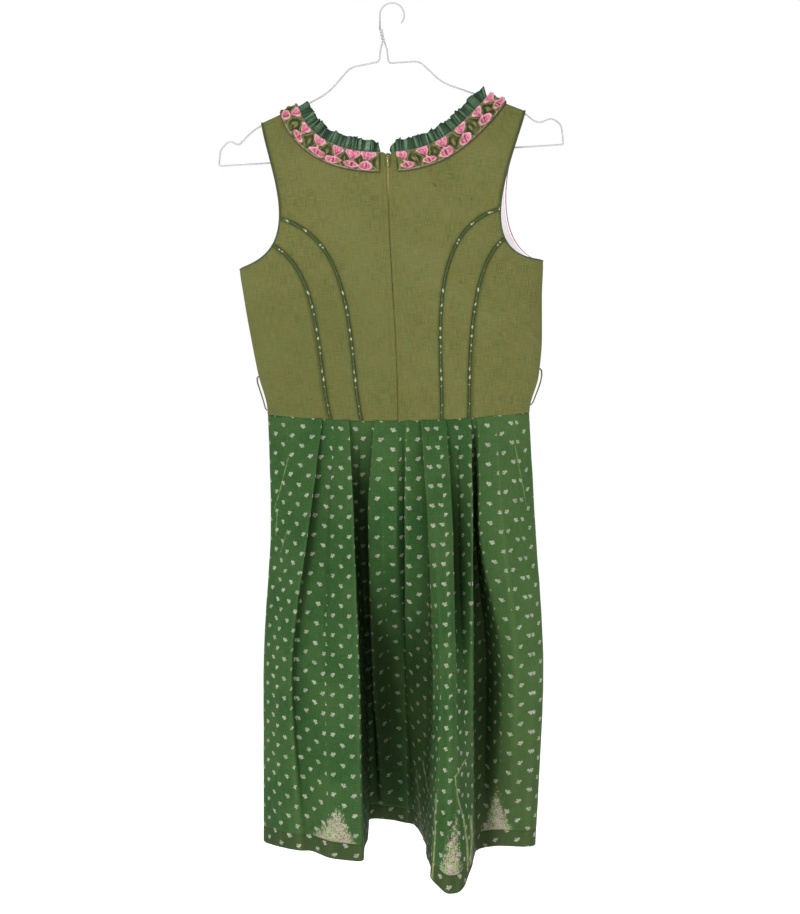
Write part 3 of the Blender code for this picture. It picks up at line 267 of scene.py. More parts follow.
HEM_DEPTH = 21.0            # the skirt's turned-up hem
HEM_SPACING = 7.0           # between points along the hem
FILLET_STEPS = 8            # faces round a fold

# ------------------------------ stage
FLOOR_REACH = 15000.0
FLOOR_Z = -1450.0
CAMERA_X = 0.01024          # metres
CAMERA_Z = -0.57984
LAMP_TARGET = (0.0, 0.0, -0.55)
WORLD_LIGHT = 0.30          # of what the camera sees of it
BODY_HEIGHTS, BODY_LEFT, BODY_RIGHT, BACK_DEPTHS, FRONT_DEPTHS = zip(*BODY)


# ------------------------------ small mathematics
def lerp(a, b, share):
    """The value share of the way from a to b."""
    return a + (b - a) * share


def bezier(points, t):
    """A point of the cubic with these four (x, z) control points."""
    weights = ((1 - t) ** 3, 3 * t * (1 - t) ** 2, 3 * t * t * (1 - t), t ** 3)
    return tuple(sum(w * p[axis] for w, p in zip(weights, points)) for axis in (0, 1))


def smooth(places, values, at):
    """A curve through the values that never swings past them."""
    if at <= places[0]:
        return values[0]
    if at >= places[-1]:
        return values[-1]
    steps = [b - a for a, b in zip(places, places[1:])]
    slopes = [(b - a) / step for a, b, step in zip(values, values[1:], steps)]
    tangents = [slopes[0]]
    for before, after in zip(slopes, slopes[1:]):
        same_way = before * after > 0
        tangents.append(2 * before * after / (before + after) if same_way else 0.0)
    tangents.append(slopes[-1])
    index = max(i for i, place in enumerate(places[:-1]) if place <= at)
    t = (at - places[index]) / steps[index]
    rise = tangents[index] * steps[index]
    fall = tangents[index + 1] * steps[index]
    return ((2 * t ** 3 - 3 * t * t + 1) * values[index] + (t ** 3 - 2 * t * t + t) * rise
            + (3 * t * t - 2 * t ** 3) * values[index + 1] + (t ** 3 - t * t) * fall)


def ease(low, high, at):
    """A soft step from 0 at low to 1 at high, for a number or an array."""
    share = np.clip((np.asarray(at, float) - low) / (high - low), 0.0, 1.0)
    return share * share * (3 - 2 * share)


def bell(off, width):
    """A soft bump: 1 where off is 0, fallen away past the width on both sides."""
    return np.exp(-(off / width) ** 2)


def rounded(points, steps=9):
    """An (x, z) path through points given with bend radii, its corners rounded."""
    path = []
    for index, (x, z, radius) in enumerate(points):
        corner = Vector((x, z))
        if index in (0, len(points) - 1):
            path.append(corner)
            continue
        arms = []
        for other in (points[index - 1], points[index + 1]):
            arm = Vector(other[:2]) - corner
            arms.append(arm.normalized() * min(radius, arm.length * 0.45))
        start, end = corner + arms[0], corner + arms[1]
        for t in (i / (steps - 1) for i in range(steps)):
            path.append(lerp(lerp(start, corner, t), lerp(corner, end, t), t))
    return path


def units(vectors):
    """The vectors of an array, each made one long."""
    return vectors / np.maximum(np.linalg.norm(vectors, axis=-1, keepdims=True), 1e-9)


def girth_places(grid, face):
    """Places on the straight grain: round the form from its middle, and its height."""
    turns, halves, depths = [], [], []
    for x, _, z in grid.reshape(-1, 3):
        left, right = sides(z)
        turns.append(angle_at(x, z))
        halves.append((right - left) / 2)
        depths.append(smooth(BODY_HEIGHTS, BACK_DEPTHS if face < 0 else FRONT_DEPTHS, z))
    turns, halves, depths = np.array(turns), np.array(halves), np.array(depths)
    total = np.zeros_like(turns)
    for step in (np.arange(12) + 0.5) / 12:
        total += np.hypot(halves * np.cos(turns * step), depths * np.sin(turns * step)) / 12
    return np.stack(((total * turns).reshape(grid.shape[:2]), grid[..., 2]), -1)


def crease_heights(creases, xs, zs):
    """How far soft creases lift the cloth at arrays of x and z."""
    total = np.zeros_like(xs)
    for number, (x0, z0, x1, z1, width, height) in enumerate(creases):
        run = np.array((x1 - x0, z1 - z0), float)
        length = np.hypot(*run)
        along = ((xs - x0) * run[0] + (zs - z0) * run[1]) / length ** 2
        bend = 0.07 * length * np.sin(math.pi * np.clip(along, 0, 1)) * (-1) ** number
        off = ((xs - x0) * -run[1] + (zs - z0) * run[0]) / length - bend
        past = np.maximum(0, np.maximum(-along, along - 1)) * length
        fade = np.clip(1.15 - np.abs(2 * along - 1) ** 3, 0, 1)
        total += height * np.exp(-(off / width) ** 2 - (past / width) ** 2) * fade
    return total


def rough_field(points, size, seed):
    """Soft noise from -1 to 1 at an array of points, with bumps of this size."""
    flat = points.reshape(-1, 3) / size
    shift = Vector((seed * 7.3, seed * 3.1, seed * 5.7))
    found = [noise.noise(Vector(point) + shift) for point in flat]
    return np.array(found).reshape(points.shape[:-1])


# ------------------------------ the bodice's form
def sides(z):
    """The left and right side of the form at a height."""
    return smooth(BODY_HEIGHTS, BODY_LEFT, z), smooth(BODY_HEIGHTS, BODY_RIGHT, z)


def shoulder_height(x):
    """Height of the shoulder seams and of their lines on towards the neck."""
    heights = []
    for bend, end in ((SHOULDER_BEND_LEFT, SHOULDER_END_LEFT),
                      (SHOULDER_BEND_RIGHT, SHOULDER_END_RIGHT)):
        slope = (bend[1] - end[1]) / (bend[0] - end[0])
        heights.append(end[1] + slope * (x - end[0]))
    return min(heights) + SEAM_ABOVE_WIRE


def waist_height(x):
    """Height of the waist seam, which sags at the middle."""
    share = (x - FLAT_WAIST_LEFT) / (FLAT_WAIST_RIGHT - FLAT_WAIST_LEFT)
    return lerp(WAIST_LEFT, WAIST_RIGHT, share) - WAIST_SAG * 4 * share * (1 - share)


def angle_at(x, z):
    """The turn round the form from its middle, at an x seen from behind."""
    left, right = sides(z)
    share = (2 * x - left - right) / (right - left)
    return math.asin(max(-1.0, min(1.0, share)))


def form_point(face, angle, z):
    """A point of the middle surface: face is -1 for the back and 1 for the front."""
    left, right = sides(z)
    x = (left + right) / 2 + (right - left) / 2 * math.sin(angle)
    fall = max(0.0, shoulder_height(x) - z)
    ridge = math.sqrt(max(0.0, 1 - (1 - min(fall / RIDGE_FALL, 1.0)) ** 2))
    over_wire = (RIDGE_START + RIDGE_DEPTH * ridge) * min(1.0, 2.5 * math.cos(angle))
    depth = smooth(BODY_HEIGHTS, BACK_DEPTHS if face < 0 else FRONT_DEPTHS, z)
    fullness = math.sin(math.pi / 2 * min(1.0, fall / FULL_DEPTH_FALL))
    return Vector((x, face * (over_wire + depth * math.cos(angle) * fullness), z))


def on_form(face, x, z):
    """The form's point behind or before this (x, z)."""
    return form_point(face, angle_at(x, z), z)


def outward(face, x, z):
    """The form's outward direction at this (x, z)."""
    step = 1.0
    across = on_form(face, x + step, z) - on_form(face, x - step, z)
    upward = on_form(face, x, z + step) - on_form(face, x, z - step)
    normal = across.cross(upward).normalized()
    return normal if normal.y * face > 0 else -normal


def edge_curve(row):
    """The four control points of a neckline or an armhole."""
    shoulder_x, *others = row
    return ((shoulder_x, shoulder_height(shoulder_x)), *others)


def armhole_curve(name):
    """The four control points of an armhole, which ends on the side seam."""
    *points, (x, z) = edge_curve(ARMHOLES[name])
    left, right = sides(z)
    return (*points, (left if x < 0 else right, z))


def seam_curve(name):
    """The four control points of a seam from the waist to its armhole."""
    waist_x, low, high, share = SEAMS[name]
    parts = name.split("_")
    end = bezier(armhole_curve(parts[0] + "_" + parts[-1]), share)
    return ((waist_x, waist_height(waist_x)), low, high, end)


def centre_curve(name):
    """The centre line of the back or the front, from the waist to the neckline."""
    waist_x, *others = CENTRES[name]
    return ((waist_x, waist_height(waist_x)), *others)


# ------------------------------ panels
def along(curve, start=0.0, end=1.0):
    """A function that runs from one share of a curve to another."""
    return lambda t: bezier(curve, lerp(start, end, t))


def side_line(is_left, top):
    """The side seam from the waist up to the underarm."""
    bottom_x = FLAT_WAIST_LEFT if is_left else FLAT_WAIST_RIGHT

    def at(t):
        z = lerp(waist_height(bottom_x), top[1], t)
        return sides(z)[0 if is_left else 1], z
    return at


def chain(first, second, share):
    """Two edge functions, one after the other."""
    return lambda t: first(t / share) if t <= share else second((t - share) / (1 - share))


def waist_line(start_x, end_x):
    """The bodice's lower edge between two places of the waist seam, in even turns."""
    middle = (FLAT_WAIST_LEFT + FLAT_WAIST_RIGHT) / 2
    half = (FLAT_WAIST_RIGHT - FLAT_WAIST_LEFT) / 2
    start, end = (math.asin((x - middle) / half) for x in (start_x, end_x))

    def at(t):
        x = middle + half * math.sin(lerp(start, end, t))
        return x, waist_height(x) - WAIST_LAP
    return at


def shoulder_line(start_x, end_x):
    """The shoulder seam between two of its places."""
    def at(t):
        x = lerp(start_x, end_x, t)
        return x, shoulder_height(x)
    return at


def panel_grid(face, edges, columns, rows, insets, top_inset=0.0):
    """Points of a panel between its left, right, bottom and top edges.

    columns and rows are shares of the width and height.  insets gives how far
    the cloth stops short of its left and right edge at a share of the height.
    """
    left, right, bottom, top = edges
    step = 0.01

    def turned(spot):
        return Vector((angle_at(*spot), spot[1]))

    bottom_row = {}

    def surface(u, v):
        if u not in bottom_row:
            bottom_row[u] = turned(bottom(u)), turned(top(u))
        low_end, high_end = bottom_row[u]
        low, high = corners[0].lerp(corners[1], u), corners[2].lerp(corners[3], u)
        spot = turned(left(v)).lerp(turned(right(v)), u) + low_end.lerp(high_end, v)
        spot -= low.lerp(high, v)
        return form_point(face, spot.x, spot.y)

    def share_in(v, edge, distance):
        """How far along a row to be a square distance inside the edge's two runs."""
        if not distance:
            return 0.0
        here = surface(edge, v)
        runs = [(surface(edge, other) - here).normalized()
                for other in (max(0.0, v - step), min(1.0, v + step)) if other != v]
        low, high = 0.0, 0.4
        for _ in range(15):
            middle = (low + high) / 2
            off = surface(lerp(edge, 1 - edge, middle), v) - here
            if min((off - run * off.dot(run)).length for run in runs) < distance:
                low = middle
            else:
                high = middle
        return high

    def share_down(u, distance):
        """How far down a column to be a square distance below the top edge."""
        down = (surface(u, 1 - step) - surface(u, 1)) / step
        run = surface(min(1.0, u + step), 1) - surface(max(0.0, u - step), 1)
        return distance / (down.length * math.sin(run.angle(down)))

    corners = [turned(left(0)), turned(right(0)), turned(left(1)), turned(right(1))]
    grid = []
    for v in rows:
        start, end = (share_in(v, edge, inset) for edge, inset in zip((0, 1), insets(v)))
        line = []
        for column_share in columns:
            u = lerp(start, 1 - end, column_share)
            height = 1 - share_down(u, top_inset) if v == 1.0 else v
            line.append(surface(u, height))
        grid.append(line)
    return np.array(grid)


def centre_inset(v):
    """Half the zip's opening, wide over the open coil and closed below it."""
    if v > CORNER:
        return 0.0
    z = bezier(centre_curve("back"), v / CORNER)[1]
    return lerp(GAP, ZIP_CHANNEL, max(0.0, min(1.0, (z - ZIP_OPEN_TO) / 25.0)))


# ------------------------------ meshes
def clean_mesh(name, points, faces, parent_material):
    """An object from points in millimetres, linked and shaded smooth."""
    mesh = bpy.data.meshes.new(name)
    mesh.from_pydata((np.asarray(points) * MM).tolist(), [], faces)
    mesh.materials.append(parent_material)
    mesh.shade_smooth()
    made = bpy.data.objects.new(name + PIECE, mesh)
    bpy.context.scene.collection.objects.link(made)
    return made


def with_edges(grid, reach=0.6):
    """The grid with one more line close inside each of its four borders."""
    for axis in (0, 1):
        lines = np.moveaxis(grid, axis, 0)
        start, end = lines[1] - lines[0], lines[-2] - lines[-1]
        near = []
        for step in (start, end):
            length = np.linalg.norm(step[..., :3], axis=-1, keepdims=True)
            near.append(step * np.minimum(0.45, reach / np.maximum(length, 1e-6)))
        lines = np.concatenate((lines[:1], lines[:1] + near[0][None], lines[1:-1],
                                lines[-1:] + near[1][None], lines[-1:]))
        grid = np.moveaxis(lines, 0, axis)
    return grid


def grid_normals(grid, face):
    """Directions square to a grid of points, turned to the side that face tells.

    face is -1 for a grid whose outer side looks back, 1 for one that looks front.
    """
    run = np.gradient(grid, axis=1)
    up = np.gradient(grid, axis=0)
    normals = units(np.cross(run, up))
    return normals if np.mean(normals[..., 1]) * face > 0 else -normals


def row_lengths(grid, axis):
    """Running length along one axis of a grid of points."""
    steps = np.linalg.norm(np.diff(grid, axis=axis), axis=-1)
    start = np.zeros_like(np.take(steps, [0], axis=axis))
    return np.concatenate((start, np.cumsum(steps, axis=axis)), axis=axis)


def shell(name, grid, normals, outer, inner, material, maps=None, shares=None, open_edge=None):
    """A closed thin piece between two offsets of a grid.

    outer and inner are heights along the normals, maps hold the place of each
    point or face corner by map name, and shares are values kept on the points.
    open_edge gives a column and the number of its rows that are left unclosed.
    """
    rows, columns = grid.shape[:2]
    index = np.arange(rows * columns).reshape(rows, columns)
    rim = np.ones((rows, columns))
    rim[[0, -1]] = 0.4
    rim[:, [0, -1]] = 0.4
    unclosed = np.zeros(rows * columns, bool)
    if open_edge:
        side, count = open_edge
        unclosed[index[:count, side]] = True
        rim[1:count, side] = 1.0
    middle = (outer + inner) / 2
    top = grid + normals * (middle + (outer - middle) * rim)[..., None]
    bottom = grid + normals * (middle + (inner - middle) * rim)[..., None]
    points = np.concatenate((top.reshape(-1, 3), bottom.reshape(-1, 3)))
    quads = corner_quads(index)
    below = quads + rows * columns
    a, b, c = grid[0, 0], grid[0, 1], grid[1, 0]
    faces_out = np.dot(np.cross(b - a, c - a), normals[0, 0]) > 0
    ring = np.concatenate((index[0], index[1:, -1], index[-1, -2::-1], index[-2:0:-1, 0]))
    after = np.roll(ring, -1)
    closed = ~(unclosed[ring] & unclosed[after])
    ring, after = ring[closed], after[closed]
    border = np.stack((after, ring, ring + rows * columns, after + rows * columns), -1)
    if faces_out:
        below = below[:, ::-1]
    else:
        border = border[:, ::-1]
    faces = np.concatenate((quads if faces_out else quads[:, ::-1], below, border))
    made = clean_mesh(name, points, faces.tolist(), material)
    if not maps:
        maps = {CLOTH_MAP: np.stack((row_lengths(grid, 1), row_lengths(grid, 0)), -1)}
    for map_name, flat in maps.items():
        corners = (corner_quads(flat) if flat.ndim == 3 else flat).reshape(-1, 4, 2)
        at_points = np.zeros((rows * columns, 2))
        at_points[quads] = corners
        parts = [corners, corners[:, ::-1], at_points[border % (rows * columns)]]
        if not faces_out:
            parts[:2] = parts[1::-1]
        uv = made.data.uv_layers.new(name=map_name)
        uv.data.foreach_set("uv", np.concatenate(parts).astype(np.float32).ravel())
    for share_name, values in (shares or {}).items():
        keep_share(made, share_name, np.concatenate((values.ravel(), values.ravel())))
    return made


def keep_share(piece, name, values):
    """Keep a value on each point of a mesh for its finish to read."""
    layer = piece.data.attributes.new(name, "FLOAT", "POINT")
    layer.data.foreach_set("value", np.asarray(values, np.float32))


def corner_quads(grid):
    """The four corners of each face between the lines of a grid."""
    return np.stack((grid[:-1, :-1], grid[:-1, 1:], grid[1:, 1:], grid[1:, :-1]),
                    2).reshape((grid.shape[0] - 1) * (grid.shape[1] - 1), 4, *grid.shape[2:])


def tube_parts(points, radius, sides_round=12, closed=False, round_ends=True):
    """Points, faces and cloth places of a round cord along points in millimetres."""
    path = np.array([tuple(point) for point in points], float)
    radii = np.full(len(path), radius, float) if np.isscalar(radius) else np.array(radius, float)
    if not closed and round_ends:
        ends = []
        for end, beside in ((0, 1), (-1, -2)):
            step = units(path[end] - path[beside])
            ends.append([path[end] + step * radii[end] * math.sin(turn) for turn in (0.6, 1.2)])
        shrink = np.cos((0.6, 1.2))
        path = np.concatenate((ends[0][::-1], path, ends[1]))
        radii = np.concatenate((radii[0] * shrink[::-1], radii, radii[-1] * shrink))
    count = len(path)
    runs = units(np.roll(path, -1, 0) - np.roll(path, 1, 0) if closed
                 else np.gradient(path, axis=0))
    side, sideways = np.cross(runs[0], (0.11, 0.93, 0.35)), []
    for run in runs:
        side = units(side - run * np.dot(side, run))
        sideways.append(side)
    sideways = np.array(sideways)
    upward = np.cross(runs, sideways)
    twist = 0.0
    if closed:
        side = side - runs[0] * np.dot(side, runs[0])
        twist = math.atan2(np.dot(side, upward[0]), np.dot(side, sideways[0]))
    turns = (2 * math.pi * np.arange(sides_round) / sides_round
             - twist * np.arange(count)[:, None] / count)[..., None]
    ring = path[:, None] + radii[:, None, None] * (
        sideways[:, None] * np.cos(turns) + upward[:, None] * np.sin(turns))
    index = np.arange(count * sides_round).reshape(count, sides_round)
    index = np.pad(index, ((0, int(closed)), (0, 1)), mode="wrap")
    steps = np.linalg.norm(np.diff(path, axis=0, append=path[:1]), axis=1)
    lengths = np.concatenate(([0.0], np.cumsum(steps)))[:len(index)]
    girth = 2 * math.pi * float(np.max(radii)) / sides_round * np.arange(sides_round + 1)
    faces = corner_quads(index).tolist()
    flat = corner_quads(np.stack(np.meshgrid(girth, lengths), -1)).reshape(-1, 2).tolist()
    if not closed:
        faces += [index[0, -2::-1].tolist(), index[-1, :-1].tolist()]
        flat += [(0.0, 0.0)] * (2 * sides_round)
    return ring.reshape(-1, 3), faces, flat


def add_parts(name, parts, material):
    """One object from several lists of points, faces and cloth places."""
    points, faces, flat = [], [], []
    for more_points, more_faces, more_flat in parts:
        start = len(points)
        points += [tuple(point) for point in more_points]
        faces += [[start + corner for corner in face] for face in more_faces]
        flat += more_flat
    made = clean_mesh(name, points, faces, material)
    uv = made.data.uv_layers.new(name=CLOTH_MAP)
    uv.data.foreach_set("uv", np.array(flat, np.float32).ravel())
    return made


def join_objects(pieces):
    """Join made objects into the first one."""
    with bpy.context.temp_override(active_object=pieces[0], object=pieces[0],
                                   selected_editable_objects=pieces, selected_objects=pieces):
        bpy.ops.object.join()


def place(piece, slot, body=BODY_OF_CLOTH):
    """Let a piece ride on its body in the place of the solid that it is named for."""
    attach(piece, body)
    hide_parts(piece.name.removesuffix(PIECE))


# ------------------------------ settings
def tint(name, description, *default):
    """A colour setting, given as linear red, green and blue."""
    return bpy.props.FloatVectorProperty(name=name, description=description, default=default,
                                         subtype="COLOR", size=3, min=0.0, max=1.0)


def size(name, description, default, low, high, unit="LENGTH"):
    """A setting in metres, or in another unit."""
    return bpy.props.FloatProperty(name=name, description=description, default=default,
                                   min=low, max=high, unit=unit)


class DIRNDL_PG_colours(bpy.types.PropertyGroup):
    """Colours of the dress's cloth, trim and metal."""

    linen: tint("Linen", "Olive linen of the bodice", 0.150, 0.168, 0.043)
    linen_worn: tint("Faded linen", "Linen where it is rubbed or faded", 0.205, 0.215, 0.078)
    stain: tint("Stain", "Small brown marks on the linen", 0.085, 0.050, 0.022)
    print_ground: tint("Print ground", "Green ground of the skirt's cotton", 0.034, 0.096, 0.026)
    print_motif: tint("Print motif", "Pale sprigs on the skirt's cotton", 0.54, 0.62, 0.46)
    # also laid on as painted highlight on the skirt's fold crests and side seams
    print_worn_and_lit: tint("Faded print", "Cotton where it is thin or catches light", 0.30, 0.42, 0.14)
    piping: tint("Piping", "Dark bias strip of the back seams", 0.030, 0.062, 0.026)
    binding: tint("Binding", "Dark bound edge of the armholes", 0.065, 0.095, 0.055)
    ruffle: tint("Ruffle", "Gathered strip at the neck", 0.036, 0.100, 0.042)
    ruffle_glint: tint("Ruffle crests", "Where the gathers catch light", 0.24, 0.33, 0.23)
    ribbon_olive: tint("Ribbon face", "Olive face of the trim's ribbon", 0.118, 0.128, 0.034)
    ribbon_pink: tint("Ribbon back", "Pink back that shows in the pleats", 0.87, 0.34, 0.46)
    # painted shade in the ribbon's folds
    ribbon_fold_shade: tint("Ribbon fold", "Deep pink in the folds", 0.56, 0.065, 0.190)
    ribbon_rim: tint("Ribbon rim", "Pale woven edge of the ribbon", 0.92, 0.60, 0.58)
    lining: tint("Lining", "Pale lining of the armholes", 0.93, 0.87, 0.90)
    lining_edge: tint("Lining edge", "Mauve stitches at the lining's edge", 0.31, 0.13, 0.20)
    coil: tint("Zip coil", "Golden teeth and tape of the zip", 0.32, 0.27, 0.085)
    metal: tint("Zip metal", "Aged brass of slider, stop and tab", 0.36, 0.35, 0.17)
    wire: tint("Hanger", "Coated wire of the hanger", 0.62, 0.59, 0.62)


class DIRNDL_PG_sizes(bpy.types.PropertyGroup):
    """Sizes of the dress's cloth and trim."""

    cloth: size("Cloth", "Thickness of the cloth shown", 0.0010, 0.0004, 0.0014)
    thread: size("Thread", "Spacing of the woven threads", 0.00085, 0.0003, 0.003)
    sprig_across: size("Sprigs across", "From sprig to sprig across the cloth", 0.0275, 0.01, 0.08)
    sprig_down: size("Sprigs down", "From sprig to sprig down the cloth", 0.0245, 0.01, 0.08)
    trim_pleat: size("Trim pleat", "Length of one pinched pleat of the trim", 0.0235, 0.018, 0.03)
    trim_mouth: size("Trim mouth", "How high the pinched pleats stand", 0.0052, 0.002, 0.006)
    ruffle: size("Ruffle", "Height of the neck ruffle", 0.0155, 0.008, 0.0165)


class DIRNDL_PG_stage(bpy.types.PropertyGroup):
    """Floor, light and camera."""

    paper: tint("Backdrop", "Pale paper behind and under the dress", 0.95, 0.95, 0.95)
    glow: size("Backdrop glow", "Light that the paper gives", 0.8, 0.0, 3.0, "NONE")
    key: size("Key light", "Power of the soft key light", 27.0, 0.0, 400.0, "POWER")
    fill: size("Fill light", "Power of the fill light", 6.0, 0.0, 400.0, "POWER")
    distance: size("Camera distance", "From the lens to the hanger", 1.8, 1.0, 4.0)
    height_seen: size("Height seen", "Height of the view at the hanger", 1.16992, 0.5, 2.0)


def colours():
    """The colour settings."""
    return bpy.context.scene.dirndl_colours


def sizes():
    """The size settings."""
    return bpy.context.scene.dirndl_sizes


def shade_of(colour, share):
    """A darker or lighter shade of a colour."""
    return tuple(share * value for value in colour)


# ------------------------------ shader recipes
class Recipe:
    """Adds nodes to one node tree and joins them by their values."""

    def __init__(self, tree):
        self.tree = tree

    def node(self, kind, inputs=None, **settings):
        """A node with these settings and inputs."""
        made = self.tree.nodes.new("ShaderNode" + kind)
        for name, setting in settings.items():
            setattr(made, name, setting)
        for key, value in (inputs or {}).items():
            self.feed(made.inputs[key], value)
        return made

    def feed(self, socket, value):
        """Link a socket to another one, or set it to a constant."""
        if isinstance(value, bpy.types.NodeSocket):
            self.tree.links.new(value, socket)
        elif socket.type == "RGBA":
            socket.default_value = (*value[:3], 1.0)
        else:
            socket.default_value = value

    def math(self, operation, *values, clamp=False):
        """The result of a sum on numbers."""
        return self.node("Math", dict(enumerate(values)), operation=operation,
                         use_clamp=clamp).outputs[0]

    def times(self, first, second):
        """The product of two numbers."""
        return self.math("MULTIPLY", first, second)

    def more(self, base, value, factor=1.0):
        """A number with so much of another one added."""
        return self.math("MULTIPLY_ADD", value, factor, base)

    def most(self, first, second):
        """The higher of two numbers."""
        return self.math("MAXIMUM", first, second)

    def vector(self, operation, *values):
        """The result of a sum on vectors: a number where the operation gives one."""
        made = self.node("VectorMath", dict(enumerate(values)), operation=operation)
        return made.outputs["Value" if operation in ("LENGTH", "DISTANCE", "DOT_PRODUCT") else 0]

    def mix(self, share, first, second):
        """A colour between two."""
        return self.node("Mix", {0: share, 6: first, 7: second}, data_type="RGBA").outputs[2]

    def coats(self, colour, *layers):
        """A colour under more paints, each laid on where all of its masks are."""
        for paint, *masks in layers:
            colour = self.mix(reduce(self.times, masks), colour, paint)
        return colour

    def band(self, *numbers):
        """A number carried softly from one range to another (0 to 1) and held there."""
        return self.node("MapRange", dict(enumerate(numbers)),
                         interpolation_type="SMOOTHSTEP").outputs[0]

    def noise(self, vector, scale, detail=2.0, rough=0.5):
        """Soft noise from 0 to 1; three scales stretch it along the axes."""
        if isinstance(scale, tuple):
            vector, scale = self.vector("MULTIPLY", vector, scale), 1.0
        return self.node("TexNoise", {"Vector": vector, "Scale": scale, "Detail": detail,
                                      "Roughness": rough}).outputs[0]

    def split(self, vector):
        """The x, y and z of a vector."""
        return self.node("SeparateXYZ", {0: vector}).outputs

    def join(self, *numbers):
        """A vector from up to three numbers."""
        return self.node("CombineXYZ", dict(enumerate(numbers))).outputs[0]

    def group(self, name, inputs):
        """The outputs of a shared effect with these inputs."""
        made = self.tree.nodes.new("ShaderNodeGroup")
        made.node_tree = bpy.data.node_groups[name]
        for key, value in inputs.items():
            self.feed(made.inputs[key], value)
        return made.outputs


class Finish(Recipe):
    """The recipe of one material, with constants on its shader."""

    def __init__(self, name, rough, sheen=0.0, metal=0.0, coat=0.0, specular=0.3):
        self.made = bpy.data.materials.new(name)
        self.made.use_nodes = True
        super().__init__(self.made.node_tree)
        self.shader = self.tree.nodes["Principled BSDF"]
        for label, value in (("Roughness", rough), ("Sheen Weight", sheen), ("Metallic", metal),
                             ("Coat Weight", coat), ("Specular IOR Level", specular),
                             ("Sheen Roughness", 0.5)):
            self.shader.inputs[label].default_value = value

    def on_map(self, name):
        """A place on one of the mesh's maps, in millimetres."""
        return self.node("UVMap", uv_map=name).outputs[0]

    def place(self):
        """The place on the hanging dress, in millimetres."""
        return self.vector("MULTIPLY", self.node("TexCoord").outputs["Object"], (1000.0,) * 3)

    def kept(self, name):
        """A value kept on the points of a mesh."""
        return self.node("Attribute", attribute_name=name).outputs["Fac"]

    def weave(self, thread, slubs):
        """The height and shade of the woven threads."""
        return self.group("Weave", {"Cloth": self.on_map(CLOTH_MAP), "Thread": thread,
                                    "Slubs": slubs})

    def worn(self, reach):
        """Broad fading and fine dust."""
        return self.group("Fade and dust", {"Place": self.place(), "Size": reach})

    def stitches(self, along, off, seam, pitch, half_width):
        """The mask and furrow of a row of stitches that runs so far off an edge."""
        return self.group("Stitches", {"Along": along, "Off": self.more(-seam, off),
                                       "Pitch": pitch, "Half width": half_width})

    def lines(self, rows):
        """The union of bands along lines given as x, z, x, z and half width."""
        place = self.place()
        return reduce(self.most, [self.group("Band along a line", {
            "Place": place, "Start": (x0, 0.0, z0), "End": (x1, 0.0, z1),
            "Half width": width})[0] for x0, z0, x1, z1, width in rows])

    def glow(self, colour, strength):
        """Light that the material gives or lets through."""
        self.feed(self.shader.inputs["Emission Color"], colour)
        self.shader.inputs["Emission Strength"].default_value = strength

    def done(self, colour, rough, height, depth, strength=1.0):
        """The material; a height of 1 stands depth millimetres out of it."""
        bump = self.node("Bump", {"Height": height, "Distance": depth * MM,
                                  "Strength": strength}).outputs[0]
        rough = self.band(*rough) if isinstance(rough, tuple) else rough
        for label, value in (("Base Color", colour), ("Roughness", rough), ("Normal", bump)):
            self.feed(self.shader.inputs[label], value)
        return self.made


def effect(name, inputs, *outputs):
    """A new shader node group: its recipe, its inputs and its outputs by name."""
    tree = bpy.data.node_groups.new(name, "ShaderNodeTree")
    for label, value in inputs.items():
        kind = "NodeSocketVector" if value is None else "NodeSocketFloat"
        socket = tree.interface.new_socket(label, in_out="INPUT", socket_type=kind)
        if value is not None:
            socket.default_value = value
    for label in outputs:
        tree.interface.new_socket(label, in_out="OUTPUT", socket_type="NodeSocketFloat")
    start, end = tree.nodes.new("NodeGroupInput"), tree.nodes.new("NodeGroupOutput")
    return Recipe(tree), start.outputs, end.inputs


def make_weave():
    """Crossing threads with thick places, as a height and a shade round 0.5."""
    r, given, end = effect("Weave", {"Cloth": None, "Thread": 0.85, "Slubs": 0.5},
                           "Height", "Shade")
    cloth = given["Cloth"]
    turns = r.math("DIVIDE", math.pi, given["Thread"])
    wave = r.times(*(r.math("SINE", r.times(way, turns)) for way in list(r.split(cloth))[:2]))
    slubs = r.more(r.noise(cloth, (1.15, 0.06, 1.0), 2.0, 0.6),
                   r.noise(cloth, (0.075, 1.15, 1.0), 2.0, 0.6))
    slubs = r.times(r.more(-1.0, slubs), given["Slubs"])
    fine = r.more(0.25, r.noise(cloth, 0.9, 3.0, 0.7), 0.5)
    r.feed(end["Shade"], r.more(slubs, fine))
    r.feed(end["Height"], r.more(slubs, r.more(0.5, wave, 0.3)))


def make_fade():
    """Broad uneven fading and fine specks of dust on any surface."""
    r, given, end = effect("Fade and dust", {"Place": None, "Size": 60.0}, "Fade", "Dust")
    broad = r.vector("DIVIDE", given["Place"], r.join(*[given["Size"]] * 3))
    r.feed(end["Fade"], r.band(r.noise(broad, 1.0, 3.0, 0.55), 0.32, 0.70))
    r.feed(end["Dust"], r.band(r.noise(given["Place"], 0.45, 1.0), 0.70, 0.80))


def make_near_line():
    """A soft band along a line between two places, seen square to the dress's back."""
    r, given, end = effect("Band along a line", {"Place": None, "Start": None, "End": None,
                                                 "Half width": 1.0}, "Mask")
    flat = r.vector("MULTIPLY", given["Place"], (1.0, 0.0, 1.0))
    off = r.vector("SUBTRACT", flat, given["Start"])
    run = r.vector("SUBTRACT", given["End"], given["Start"])
    share = r.math("DIVIDE", r.vector("DOT_PRODUCT", off, run),
                   r.vector("DOT_PRODUCT", run, run), clamp=True)
    nearest = r.node("VectorMath", {0: run, "Scale": share}, operation="SCALE").outputs[0]
    gap = r.math("DIVIDE", r.vector("DISTANCE", off, nearest), given["Half width"])
    r.feed(end["Mask"], r.band(gap, 1.5, 0.3))


